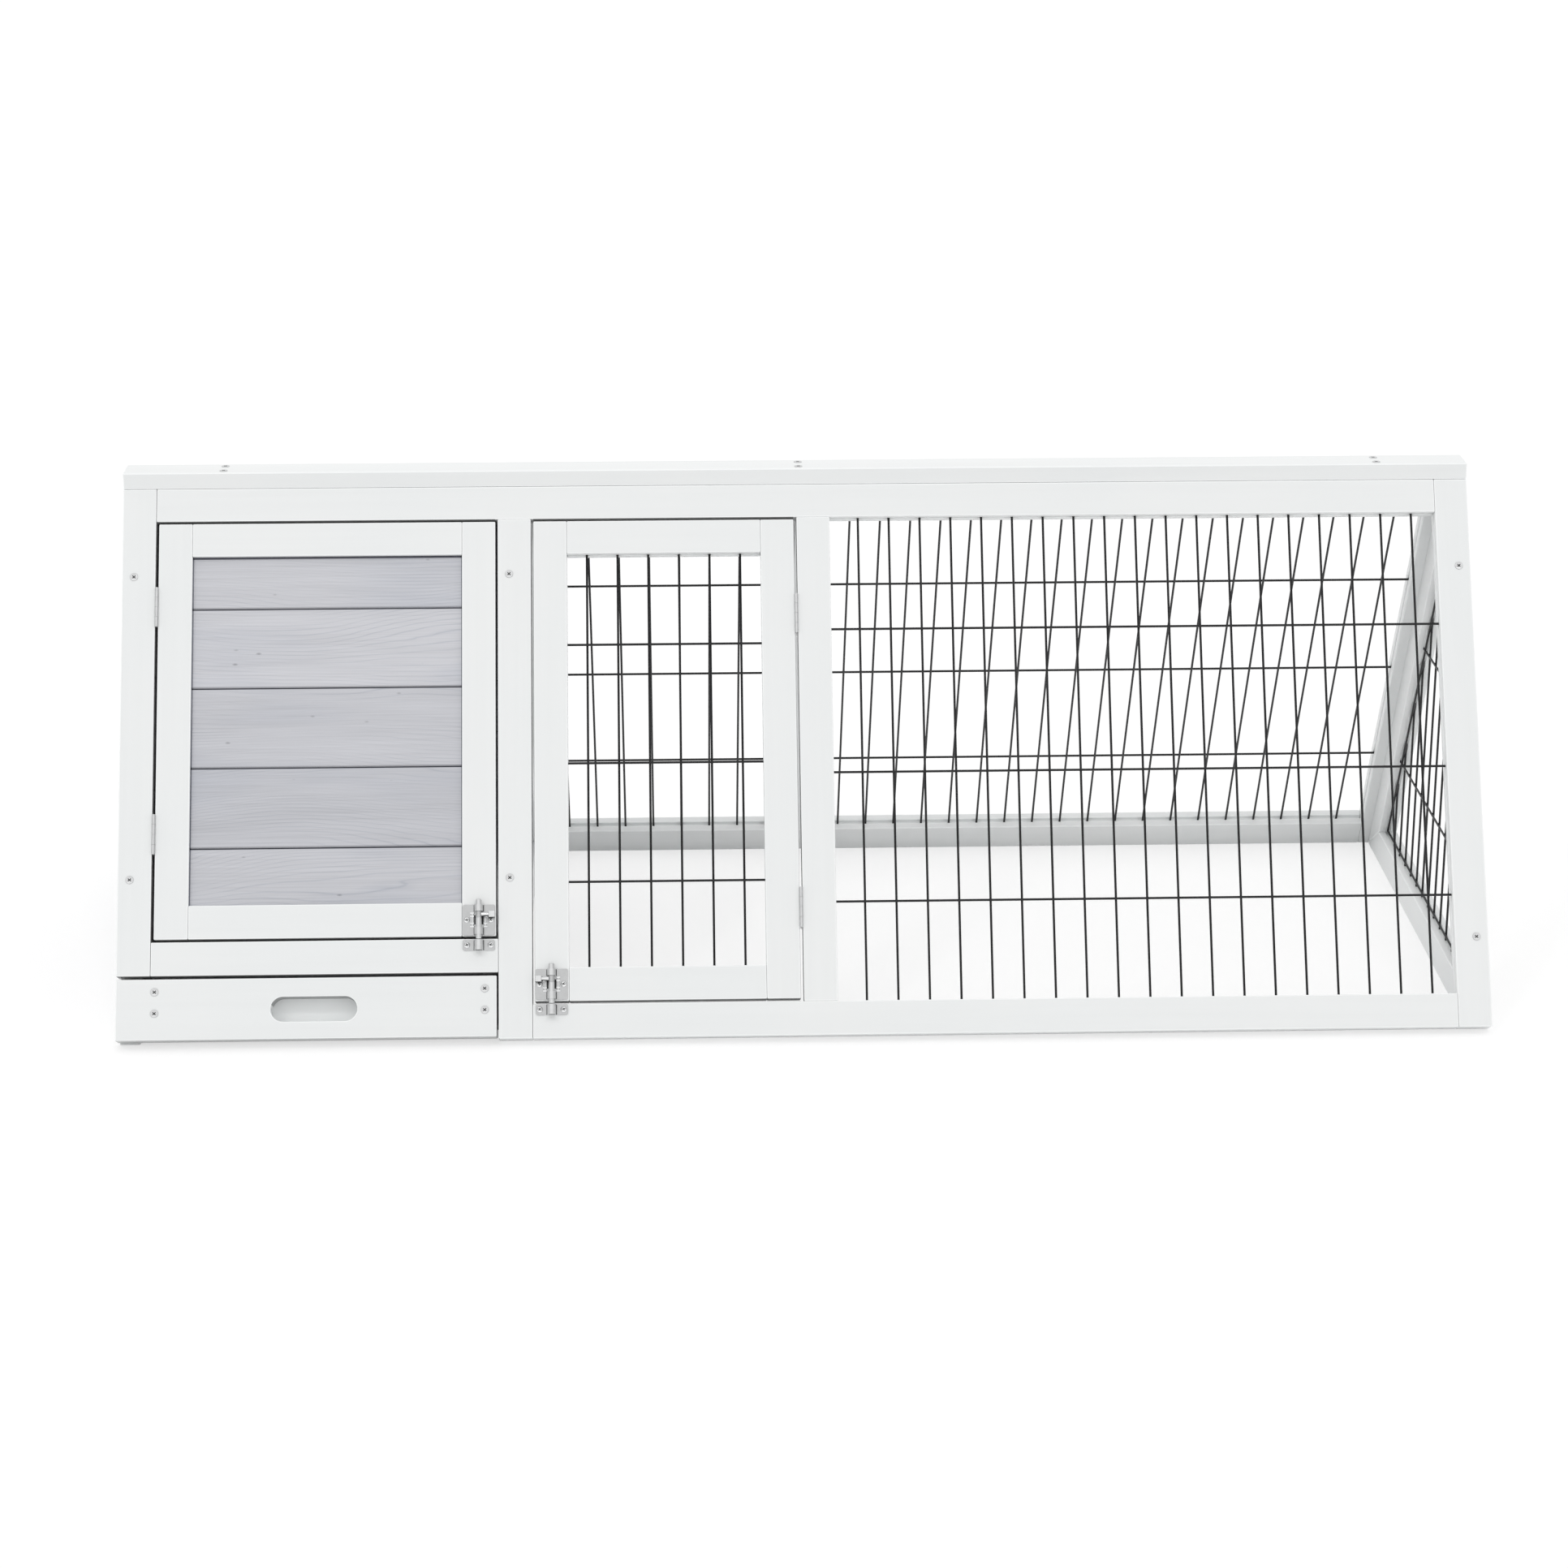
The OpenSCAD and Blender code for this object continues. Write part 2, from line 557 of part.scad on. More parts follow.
module tray_front() color(white) on_front() difference() {
  pbox(-half, xp - 1.4, 1.9, 54.4, -tray_front_t, 0);
  for (x = [slot_x - slot_l / 2 + slot_h / 2, slot_x + slot_l / 2 - slot_h / 2])
    translate([x, slot_s, -tray_front_t - 1]) cylinder(r = slot_h / 2, h = tray_front_t + 2, $fn = 48);
  pbox(slot_x - slot_l / 2 + slot_h / 2, slot_x + slot_l / 2 - slot_h / 2,
    slot_s - slot_h / 2, slot_s + slot_h / 2, -tray_front_t - 1, 1);
  tray_screw_places() screw_hole(3.5, 36);
}
module tray_sides() color(white) difference() {
  for (x = [tray_x0, tray_x1 - tray_side_t])
    along_x(x, x + tray_side_t, [[front_y(tray_bottom), tray_bottom], [tray_back_y, tray_bottom],
      [tray_back_y, tray_top], [front_y(tray_top), tray_top]]);
  on_front() tray_screw_places() screw_hole(3.5, 36);
}
module tray_back() color(white)
  translate([tray_x0 + tray_side_t, tray_back_y - tray_side_t, tray_bottom])
    cube([tray_x1 - tray_x0 - 2 * tray_side_t, tray_side_t, tray_top - tray_bottom]);
module tray_inner_wall() color(white)
  along_x(tray_x0 + tray_side_t, tray_x1 - tray_side_t,
    [[front_y(tray_bottom), tray_bottom], [wall_y(tray_bottom), tray_bottom],
     [wall_y(tray_top), tray_top], [front_y(tray_top), tray_top]]);
module tray_floor() color(grey)
  along_x(tray_x0 + tray_side_t, tray_x1 - tray_side_t,
    [[wall_y(tray_bottom + 1), tray_bottom + 1], [tray_back_y - tray_side_t, tray_bottom + 1],
     [tray_back_y - tray_side_t, tray_bottom + 5], [wall_y(tray_bottom + 5), tray_bottom + 5]]);
module tray_screws() color(zinc) on_front() tray_screw_places() screw(3.5, 36);

// ---- switchboard ---------------------------------------------------------

front_left_post();
front_partition_post();
front_run_post();
front_right_post();
front_top_rail();
front_hut_sill();
front_run_sill();
front_run_mesh();
back_left_post();
back_partition_post();
back_run_post();
back_right_post();
back_top_rail();
back_hut_sill();
back_run_sill();
back_hut_boards();
back_door_mesh();
back_run_mesh();
right_end_legs();
right_end_rail();
right_end_mesh();
left_end_legs();
left_end_rail();
left_end_boards();
partition_legs();
partition_rail();
partition_boards();
ridge_board();
ridge_screws();
frame_screws();
tray_runners();
hut_keeper();
run_keeper();
keeper_screws();
hut_frame_leaves();
run_frame_leaves();
hut_door_stiles();
hut_door_rails();
hut_door_boards();
hut_door_leaves();
hut_bolt_plate();
hut_bolt_screws();
hut_bolt_rod();
hut_bolt_lever();
run_door_stiles();
run_door_rails();
run_door_mesh();
run_door_leaves();
run_bolt_plate();
run_bolt_screws();
run_bolt_rod();
run_bolt_lever();
tray_front();
tray_sides();
tray_back();
tray_inner_wall();
tray_floor();
tray_screws();
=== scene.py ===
"""Outdoor rabbit run: painted timber, stained boards, welded wire, slide bolts and hinges.

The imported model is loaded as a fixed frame. Every operator below dresses one group of its
pieces: it rounds the timber, redraws the round wire, details the bolts and gives each
surface its material. Lengths are metres; on a panel a place is given as x along it, s up
its slope and n out of its face.
"""
import json
import math

import bmesh
import bpy
from bpy.props import FloatProperty, FloatVectorProperty, IntProperty, PointerProperty
from bpy.types import Operator, Panel, PropertyGroup
from mathutils import Matrix, Vector


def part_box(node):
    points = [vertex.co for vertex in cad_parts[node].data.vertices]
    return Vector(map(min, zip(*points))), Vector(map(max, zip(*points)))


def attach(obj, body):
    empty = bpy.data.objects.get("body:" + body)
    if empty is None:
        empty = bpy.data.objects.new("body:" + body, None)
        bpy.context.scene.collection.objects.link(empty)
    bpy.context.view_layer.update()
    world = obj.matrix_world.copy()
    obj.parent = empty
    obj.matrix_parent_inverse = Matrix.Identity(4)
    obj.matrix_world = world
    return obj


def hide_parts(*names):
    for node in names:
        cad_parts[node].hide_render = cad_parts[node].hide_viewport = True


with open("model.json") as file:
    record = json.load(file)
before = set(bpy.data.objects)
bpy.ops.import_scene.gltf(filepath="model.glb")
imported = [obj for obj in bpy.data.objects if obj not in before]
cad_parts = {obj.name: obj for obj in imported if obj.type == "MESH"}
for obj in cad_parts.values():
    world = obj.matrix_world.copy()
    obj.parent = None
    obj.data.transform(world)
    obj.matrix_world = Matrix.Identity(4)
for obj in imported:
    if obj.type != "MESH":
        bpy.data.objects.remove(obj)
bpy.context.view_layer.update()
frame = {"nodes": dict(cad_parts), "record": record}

bl_info = {
    "name": "Outdoor Rabbit Run",
    "version": (1, 0, 0),
    "blender": (4, 5, 0),
    "location": "3D View > Sidebar > Rabbit Run",
    "description": "Finishes the timber, boards, wire and fittings of an A-frame rabbit run",
    "category": "Object",
}

MM = 0.001
UNTURNED = (0.0, 0.0, 0.0)
SLOPE = math.radians(61.0)
SA, CA = math.sin(SLOPE), math.cos(SLOPE)
TIMBER_T = 18.0 * MM
TIMBER_W = 29.2 * MM
FRONT_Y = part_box("front_right_post")[0].y      # lower outer edge of the front panel
PANEL_Z = TIMBER_T * CA
SLOT_AT = (-421.35 * MM, 27.5 * MM)            # x and s of the middle of the tray's slot
GROOVE = 3.95 * MM                             # how far the wire reaches into the timber

FRONT_PANEL = Matrix((
    (1.0, 0.0, 0.0, 0.0),
    (0.0, CA, -SA, FRONT_Y),
    (0.0, SA, CA, PANEL_Z),
    (0.0, 0.0, 0.0, 1.0),
))
BACK_PANEL = Matrix.Diagonal((1.0, -1.0, 1.0, 1.0)) @ FRONT_PANEL
TO_PANEL = FRONT_PANEL.inverted()
SLOPE_OFFSET = FRONT_Y * CA + PANEL_Z * SA     # turned Y of the point s = 0

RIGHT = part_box("ridge_board")[1].x
PARTITION_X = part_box("front_partition_post")[0].x
RUN_POST_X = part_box("front_run_post")[0].x

# timber nodes by the paint that follows their grain, in the order in which they are made
TIMBER = (
    ("paint_along", (
        "front_top_rail", "front_hut_sill", "front_run_sill", "back_top_rail", "back_hut_sill",
        "back_run_sill", "ridge_board", "hut_door_rails", "run_door_rails", "tray_front",
        "tray_back", "tray_inner_wall")),
    ("paint_up_front", (
        "front_left_post", "front_partition_post", "front_run_post", "front_right_post",
        "hut_door_stiles", "run_door_stiles")),
    ("paint_up_back", (
        "back_left_post", "back_partition_post", "back_run_post", "back_right_post")),
    ("paint_up_front", ("right_end_legs", "left_end_legs", "partition_legs")),
    ("paint_across", (
        "right_end_rail", "left_end_rail", "partition_rail", "tray_sides", "tray_runners")),
)
# rails and sills, whose ends butt against a post or stile and take painted shade
BUTTED = tuple(n for n in TIMBER[0][1] if n.endswith(("_rail", "_rails", "_sill")))


def on_panel(node):
    """Limits of a front node in the panel's own x and s."""
    points = [TO_PANEL @ v.co for v in frame["nodes"][node].data.vertices]
    xs, ss = [p.x for p in points], [p.y for p in points]
    return min(xs), max(xs), min(ss), max(ss)


HUT_DOOR, RUN_DOOR = on_panel("hut_door_stiles"), on_panel("run_door_stiles")
TRAY_FRONT = on_panel("tray_front")


# ---- settings


class RabbitRunTimber(PropertyGroup):
    """Finish of the painted timber."""

    edge_radius: FloatProperty(
        name="Edge rounding", description="Radius of the rounded timber edges",
        default=0.9 * MM, min=0.1 * MM, max=3 * MM, subtype="DISTANCE", unit="LENGTH")
    paint_colour: FloatVectorProperty(
        name="Paint", description="Colour of the white paint", size=3, subtype="COLOR",
        default=(0.815, 0.826, 0.824), min=0.0, max=1.0)
    paint_roughness: FloatProperty(
        name="Paint roughness", description="Roughness of the dried paint",
        default=0.48, min=0.0, max=1.0, subtype="FACTOR")


class RabbitRunBoards(PropertyGroup):
    """Finish of the stained boards."""

    board_colour: FloatVectorProperty(
        name="Stain", description="Mean colour of the stained boards", size=3, subtype="COLOR",
        default=(0.556, 0.560, 0.594), min=0.0, max=1.0)
    grain_depth: FloatProperty(
        name="Grain depth", description="Height of the raised grain",
        default=0.12 * MM, min=0.0, max=1 * MM, subtype="DISTANCE", unit="LENGTH")
    board_height: FloatProperty(
        name="Board height", description="Height of one board",
        default=70.2 * MM, min=20 * MM, max=200 * MM, subtype="DISTANCE", unit="LENGTH")


class RabbitRunWire(PropertyGroup):
    """Welded wire of the run."""

    wire_diameter: FloatProperty(
        name="Wire diameter", description="Diameter of the coated wire",
        default=2.08 * MM, min=0.8 * MM, max=4 * MM, subtype="DISTANCE", unit="LENGTH")
    wire_sides: IntProperty(
        name="Sides", description="Faces round one wire", default=10, min=6, max=24)
    wire_colour: FloatVectorProperty(
        name="Coating", description="Colour of the wire's coating", size=3, subtype="COLOR",
        default=(0.007, 0.007, 0.008), min=0.0, max=1.0)


class RabbitRunFittings(PropertyGroup):
    """Bolts, hinges and screws."""

    zinc_colour: FloatVectorProperty(
        name="Zinc", description="Colour of the plated steel", size=3, subtype="COLOR",
        default=(0.545, 0.55, 0.552), min=0.0, max=1.0)
    zinc_roughness: FloatProperty(
        name="Zinc roughness", description="Roughness of the plated steel",
        default=0.36, min=0.05, max=1.0, subtype="FACTOR")
    bolt_diameter: FloatProperty(
        name="Bolt diameter", description="Diameter of the sliding bolt",
        default=5.2 * MM, min=3 * MM, max=10 * MM, subtype="DISTANCE", unit="LENGTH")
    pan_head_diameter: FloatProperty(
        name="Pan head", description="Diameter of the small screws' heads",
        default=5.4 * MM, min=3 * MM, max=10 * MM, subtype="DISTANCE", unit="LENGTH")


class RabbitRunStage(PropertyGroup):
    """Floor, light and camera."""

    floor_colour: FloatVectorProperty(
        name="Floor", description="Colour of the floor", size=3, subtype="COLOR",
        default=(0.90, 0.90, 0.90), min=0.0, max=1.0)
    sky_strength: FloatProperty(
        name="Surrounding light", description="Strength of the white surround as light",
        default=0.95, min=0.0, max=4.0)
    key_strength: FloatProperty(
        name="Key lights", description="Strength of each of the two soft lights",
        default=0.17, min=0.0, max=10.0)
    lens: FloatProperty(
        name="Lens", description="Focal length of the camera, mm",
        default=84.955, min=10.0, max=300.0)


SETTINGS = {
    "rabbit_run_timber": RabbitRunTimber,
    "rabbit_run_boards": RabbitRunBoards,
    "rabbit_run_wire": RabbitRunWire,
    "rabbit_run_fittings": RabbitRunFittings,
    "rabbit_run_stage": RabbitRunStage,
}


def setting(group, name):
    """Value of one setting of the current scene."""
    return getattr(getattr(bpy.context.scene, "rabbit_run_" + group), name)


# ---- materials


class Nodes:
    """The node tree of a material or of the world, built step by step."""

    def __init__(self, owner, output):
        owner.use_nodes = True
        self.tree = owner.node_tree
        self.tree.nodes.clear()
        self.output = self.add(output)

    def add(self, kind, inputs=(), **fields):
        """Adds a node; inputs pairs its sockets with numbers, colours or links."""
        node = self.tree.nodes.new(kind)
        for key, value in fields.items():
            setattr(node, key, value)
        for key, value in dict(inputs).items():
            socket = node.inputs[key]
            if isinstance(value, bpy.types.NodeSocket):
                self.tree.links.new(value, socket)
            elif socket.type == "RGBA":
                socket.default_value = (*value[:3], 1.0)
            else:
                socket.default_value = value
        return node

    def show(self, shader):
        """Sends a shader to the output."""
        self.tree.links.new(shader.outputs[0], self.output.inputs["Surface"])

    def math(self, operation, *terms):
        return self.add("ShaderNodeMath", enumerate(terms), operation=operation).outputs[0]

    def mix(self, kind, factor, a, b):
        """Two colours blended; kind is the Mix node's blend type."""
        return self.add("ShaderNodeMix", {0: factor, 6: a, 7: b}, data_type="RGBA",
                        blend_type=kind).outputs[2]

    def span(self, value, a, b, low=0.0, high=1.0, kind="LINEAR"):
        """Maps low to a and high to b."""
        inputs = {"Value": value, "From Min": low, "From Max": high, "To Min": a, "To Max": b}
        return self.add("ShaderNodeMapRange", inputs, interpolation_type=kind).outputs["Result"]


class Surface(Nodes):
    """A procedural material on Object coordinates."""

    def __init__(self, name):
        self.material = bpy.data.materials.new(name)
        super().__init__(self.material, "ShaderNodeOutputMaterial")
        self.place = self.add("ShaderNodeTexCoord").outputs["Object"]

    def turned(self, rotation=UNTURNED, scale=(1.0, 1.0, 1.0), source=None):
        """Object coordinates, or another source, turned and scaled."""
        inputs = {"Rotation": rotation, "Scale": scale, "Vector": source or self.place}
        return self.add("ShaderNodeMapping", inputs).outputs["Vector"]

    def noise(self, vector, scale, detail=3.0, roughness=0.5, distortion=0.0):
        inputs = {"Scale": scale, "Detail": detail, "Roughness": roughness,
                  "Distortion": distortion, "Vector": vector}
        return self.add("ShaderNodeTexNoise", inputs).outputs["Fac"]

    def grain(self, source, scale, *shape):
        """Noise on a stretched source; shape is its detail, roughness and distortion."""
        return self.noise(self.turned(scale=scale, source=source), 1.0, *shape)

    def scaled(self, value, factor, offset):
        return self.math("ADD", self.math("MULTIPLY", value, factor), offset)

    def weighted(self, *pairs):
        """Sum of values times their weights."""
        terms = [self.math("MULTIPLY", *pair) for pair in pairs]
        total = terms[0]
        for term in terms[1:]:
            total = self.math("ADD", total, term)
        return total

    def times(self, colour, *others):
        """A colour multiplied by others, in their order."""
        for other in others:
            colour = self.mix("MULTIPLY", 1.0, colour, other)
        return colour

    def ramp(self, factor, stops, interpolation="LINEAR"):
        """Colour ramp; a stop is a position with a colour or a grey."""
        node = self.add("ShaderNodeValToRGB", {"Fac": factor})
        node.color_ramp.interpolation = interpolation
        elements = node.color_ramp.elements
        while len(elements) < len(stops):
            elements.new(0.5)
        for element, (position, colour) in zip(elements, stops):
            element.position = position
            element.color = (*(colour if isinstance(colour, tuple) else (colour,) * 3), 1.0)
        return node.outputs["Color"]

    def bump(self, height, strength, distance, normal=None):
        inputs = {"Strength": strength, "Distance": distance, "Height": height}
        if normal is not None:
            inputs["Normal"] = normal
        return self.add("ShaderNodeBump", inputs).outputs["Normal"]

    def finish(self, colour, roughness, normal, **constants):
        """Closes the material; constants are further inputs of its shader."""
        inputs = {"Base Color": colour, "Roughness": roughness, "Normal": normal}
        inputs.update({name.replace("_", " "): value for name, value in constants.items()})
        self.show(self.add("ShaderNodeBsdfPrincipled", inputs))
        return self.material


def tint(colour, factor):
    return tuple(min(1.0, c * factor) for c in colour)


def painted_timber(name, rotation, lift=1.0):
    """White satin paint over softwood whose grain runs along the turned X axis."""
    paint = setting("timber", "paint_colour")
    s = Surface(name)
    along = s.turned(rotation)
    streaks = s.grain(along, (3.0, 95.0, 95.0), 5.0, 0.62, 0.6)
    fine = s.grain(along, (14.0, 520.0, 520.0), 3.0, 0.6)
    clouds = s.noise(along, 7.0, 3.0, 0.55)
    shade = s.ramp(streaks, ((0.30, tint(paint, 0.990 * lift)), (0.62, tint(paint, 1.006 * lift))))
    cloud = s.ramp(clouds, ((0.35, (0.984, 0.990, 0.993)), (0.65, 1.0)))
    roughness = s.scaled(fine, 0.14, setting("timber", "paint_roughness") - 0.07)
    normal = s.bump(fine, 0.25, 0.04 * MM, s.bump(streaks, 0.35, 0.10 * MM))
    return s.finish(s.times(shade, cloud), roughness, normal)


def stained_board(name, rotation, origin, height=None, rim=None):
    """Smooth grey stained pine; the turned axes are x along a board and y across it.

    origin is the place of a joint on y. rim gives x0, x1 and y1 of a frame round the boards,
    along which shade is painted: beside the stiles and, darker, under the top rail.
    """
    stain = tuple(setting("boards", "board_colour"))
    height = height or setting("boards", "board_height")
    s = Surface(name)
    at = s.add("ShaderNodeSeparateXYZ", {0: s.turned(rotation)}).outputs
    lift = s.math("SUBTRACT", at["Y"], origin)
    index = s.math("FLOOR", s.math("DIVIDE", lift, height))
    number = s.add("ShaderNodeTexWhiteNoise", {"W": s.math("ADD", index, 15.5)},
                   noise_dimensions="1D").outputs["Value"]
    # every board is sawn from its own place in the log
    across = s.math("ADD", at["Y"], s.math("MULTIPLY", index, 0.37))
    along = s.math("ADD", at["X"], s.math("MULTIPLY", number, 3.0))
    board = s.add("ShaderNodeCombineXYZ", {"X": along, "Y": across, "Z": at["Z"]}).outputs[0]
    # growth rings: close level lines that bend into long arches
    sweep = s.grain(board, (3.3, 12.0, 1.0), 1.0, 0.4)
    bend = s.grain(board, (11.0, 60.0, 1.0), 2.0, 0.5)
    rings_at = s.weighted((sweep, 21.0), (bend, 1.8), (across, 285.0))
    rings = s.math("MULTIPLY", s.math("PINGPONG", rings_at, 0.5), 2.0)
    line = s.ramp(rings, ((0.0, 0.0), (0.14, 0.70), (0.42, 1.0)), "EASE")
    strong = s.grain(board, (3.6, 34.0, 1.0), 2.0, 0.5)
    fibres = s.grain(board, (9.0, 700.0, 50.0), 4.0, 0.65, 0.3)
    veil = s.grain(board, (4.0, 46.0, 8.0), 3.0, 0.5)
    tone = s.ramp(s.weighted((fibres, 0.68), (veil, 0.32)),
                  ((0.36, tint(stain, 0.90)), (0.50, stain), (0.66, tint(stain, 1.08))))
    ringed = s.times(tone, s.ramp(line, ((0.0, (0.80, 0.82, 0.85)), (1.0, 1.0))))
    colour = s.mix("MIX", s.ramp(strong, ((0.36, 0.25), (0.58, 1.0))), tone, ringed)
    # bluish patches where the stain lies thicker, and each board's own tone
    patch = s.ramp(s.grain(board, (6.5, 24.0, 1.0), 2.0, 0.5),
                   ((0.52, 1.0), (0.76, (0.91, 0.925, 0.95))))
    piece = s.ramp(number, ((0.0, (0.884, 0.888, 0.894)), (1.0, (1.045, 1.042, 1.036))))
    # painted shade and stain along the joints, and painted shade at each board's lower edge, by the
    # distance from them in mm
    part = s.math("SUBTRACT", s.math("DIVIDE", lift, height), index)
    below = s.math("MULTIPLY", part, height / MM)
    above = s.math("MULTIPLY", s.math("SUBTRACT", 1.0, part), height / MM)
    seam = s.ramp(s.math("DIVIDE", s.math("MINIMUM", above, below), 4.0),
                  ((0.0, (0.10, 0.11, 0.14)), (0.10, (0.20, 0.21, 0.25)), (0.20, 1.0)))
    lower_edge_shade = s.ramp(s.math("DIVIDE", below, 8.0), ((0.0, 0.68), (0.22, 0.80), (0.30, 1.0)))
    colour = s.times(colour, patch, piece, seam, lower_edge_shade)
    # painted shade beside the door's stiles and a painted shadow under its top rail
    if rim:
        x0, x1, y1 = rim
        side = s.math("MINIMUM", s.math("SUBTRACT", at["X"], x0), s.math("SUBTRACT", x1, at["X"]))
        stile_shade = s.ramp(s.math("DIVIDE", side, 2.0 * MM),
                      ((0.0, (0.22, 0.23, 0.27)), (0.42, (0.34, 0.35, 0.39)), (0.60, 1.0)))
        top = s.ramp(s.math("DIVIDE", s.math("SUBTRACT", y1, at["Y"]), 4.0 * MM),
                     ((0.0, (0.10, 0.10, 0.12)), (0.38, (0.16, 0.16, 0.19)), (0.52, 1.0)))
        colour = s.times(colour, stile_shade, top)
    # small dark pores and knots
    cells = s.turned(scale=(26.0, 60.0, 10.0), source=board)
    speck = s.add("ShaderNodeTexVoronoi", {"Scale": 1.0, "Vector": cells}).outputs["Distance"]
    specks = s.ramp(speck, ((0.0, 0.45), (0.045, 0.72), (0.075, 1.0)))
    normal = s.bump(s.weighted((fibres, 0.5), (line, 0.5)), 0.5, setting("boards", "grain_depth"))
    return s.finish(s.mix("MULTIPLY", 0.85, colour, specks), s.scaled(fibres, 0.2, 0.46), normal)


def coated_wire(name):
    """Black coated wire with a soft sheen."""
    black = setting("wire", "wire_colour")
    s = Surface(name)
    mottle = s.noise(s.place, 160.0, 3.0, 0.6)
    colour = s.ramp(mottle, ((0.35, tint(black, 0.75)), (0.70, tint(black, 1.6))))
    normal = s.bump(s.noise(s.place, 900.0, 2.0), 0.25, 0.03 * MM)
    return s.finish(colour, s.scaled(mottle, 0.18, 0.30), normal, Specular_IOR_Level=0.3)


def plated_zinc(name, shade=1.0, rough_shift=0.0):
    """Bright zinc plate on pressed steel, slightly cloudy."""
    zinc = tint(setting("fittings", "zinc_colour"), shade)
    rough = setting("fittings", "zinc_roughness") + rough_shift
    s = Surface(name)
    cloud = s.noise(s.place, 240.0, 4.0, 0.6)
    colour = s.ramp(cloud, ((0.30, tint(zinc, 0.955)), (0.55, zinc), (0.75, tint(zinc, 1.04))))
    normal = s.bump(s.noise(s.place, 2200.0, 2.0), 0.25, 0.02 * MM)
    return s.finish(colour, s.scaled(cloud, 0.16, rough - 0.08), normal, Metallic=1.0)


def dark_shade_finish(name):
    """Near-black painted shade for the slots of a slide bolt and the underside of its lever."""
    s = Surface(name)
    shade_noise = s.noise(s.place, 700.0, 3.0, 0.6)
    colour = s.ramp(shade_noise, ((0.3, (0.010, 0.011, 0.012)), (0.8, (0.030, 0.031, 0.033))))
    return s.finish(colour, s.scaled(shade_noise, 0.3, 0.45), s.bump(shade_noise, 0.3, 0.05 * MM))


def turn_of(long_axis, up_axis):
    """Euler turn of the Object coordinates that brings long_axis to X and up_axis to Y."""
    long_axis, up_axis = Vector(long_axis).normalized(), Vector(up_axis).normalized()
    side = long_axis.cross(up_axis)
    return tuple(Matrix((long_axis, up_axis, side)).to_euler("XYZ"))


UP_FRONT = turn_of((0, CA, SA), (1, 0, 0))
UP_BACK = turn_of((0, -CA, SA), (1, 0, 0))
ACROSS = (0.0, 0.0, -math.pi / 2)
ALONG_FRONT = turn_of((1, 0, 0), (0, CA, SA))
ALONG_BACK = turn_of((1, 0, 0), (0, -CA, SA))
ALONG_END = turn_of((0, 1, 0), (0, 0, 1))
# where a board joint lies on the turned Y axis
BOARD_JOINT = SLOPE_OFFSET + 167.1 * MM - 10 * 70.2 * MM
# frame round the door's boards, along which shade is painted
DOOR_RIM = (HUT_DOOR[0] + TIMBER_W, HUT_DOOR[1] - TIMBER_W, SLOPE_OFFSET + HUT_DOOR[3] - TIMBER_W)

# finishes by their maker: the material's name and what else the maker takes
FINISH_TABLE = {
    painted_timber: {
        "paint_along": ("white_paint_along", UNTURNED),
        "paint_up_front": ("white_paint_up_front", UP_FRONT),
        "paint_up_back": ("white_paint_up_back", UP_BACK),
        "paint_across": ("white_paint_across", ACROSS),
        # painted highlight: a lighter copy of the paint for the rounded edges
        "paint_arris": ("white_paint_arris", UNTURNED, 1.14),
        # lit and shaded copies of the paint: the ridge's sides a little darker, its top paler
        "paint_ridge": ("white_paint_ridge", UNTURNED, 0.99),
        "paint_crown": ("white_paint_crown", UNTURNED, 1.06),
        # painted light: a paler copy of the paint that lifts the shaded wall behind the tray's slot
        "slot_wall_lit": ("white_paint_slot", UNTURNED, 1.18),
        # painted shade: a darker copy of the paint for gaps, butted joints and the ridge's
        # underside
        "gap_shade": ("thin_paint_in_gaps", UNTURNED, 0.45),
        # painted shade, a little lighter, for the edges of the doors and the tray in their gaps
        "edge_shade": ("thin_paint_on_edges", UNTURNED, 0.66),
        # painted shade for the upper wall of the tray's slot
        "paint_shade": ("white_paint_thin", UNTURNED, 0.42),
    },
    stained_board: {
        "boards_front": ("grey_stain_front", ALONG_FRONT, BOARD_JOINT, None, DOOR_RIM),
        "boards_back": ("grey_stain_back", ALONG_BACK, BOARD_JOINT),
        "boards_end": ("grey_stain_end", ALONG_END, 25.25 * MM, 69.0 * MM),
        "boards_flat": ("grey_stain_floor", UNTURNED, -0.5, 1.0),
    },
    coated_wire: {"wire": ("black_coated_wire",)},
    plated_zinc: {
        "zinc": ("plated_zinc",),
        # painted highlight: a lighter copy of the zinc for the straps, stop bars and rod
        "zinc_strap": ("plated_zinc_strap", 1.28),
        "zinc_screw": ("plated_zinc_screw", 1.22, -0.04),
        "zinc_flush": ("plated_zinc_flush", 1.20, 0.04),
        "zinc_hinge": ("plated_zinc_hinge", 1.20, 0.04),
        # painted highlight: the brightest copy of the zinc, for the lugs and the lever
        "zinc_highlight": ("plated_zinc_bright", 1.36, -0.06),
        # painted shade: a dark copy of the zinc for the screws' cross recesses
        "zinc_recess": ("plated_zinc_recess", 0.24, 0.12),
    },
    # near-black painted shade for the bolts' slots and the levers' undersides
    dark_shade_finish: {"grease": ("slot_grease",)},
}
FINISHES = {}


def finish_of(key):
    """One of the object's finishes; all are made once, at the first call."""
    if not FINISHES:
        for make, group in FINISH_TABLE.items():
            FINISHES.update({name: make(*rest) for name, rest in group.items()})
    return FINISHES[key]


# ---- mesh helpers

DOUBLES = 0.004 * MM                 # vertices of a CAD mesh closer than this are one
FLAT = math.radians(0.6)             # faces that turn less than this are one flat
SHARP, CREASED = math.radians(24), math.radians(36)
BODY_OF = {node: body for body, nodes in frame["record"]["behaviour"]["bodies"].items()
           for node in nodes}


def linked(name, data):
    """A new object of the scene."""
    made = bpy.data.objects.new(name, data)
    bpy.context.scene.collection.objects.link(made)
    return made


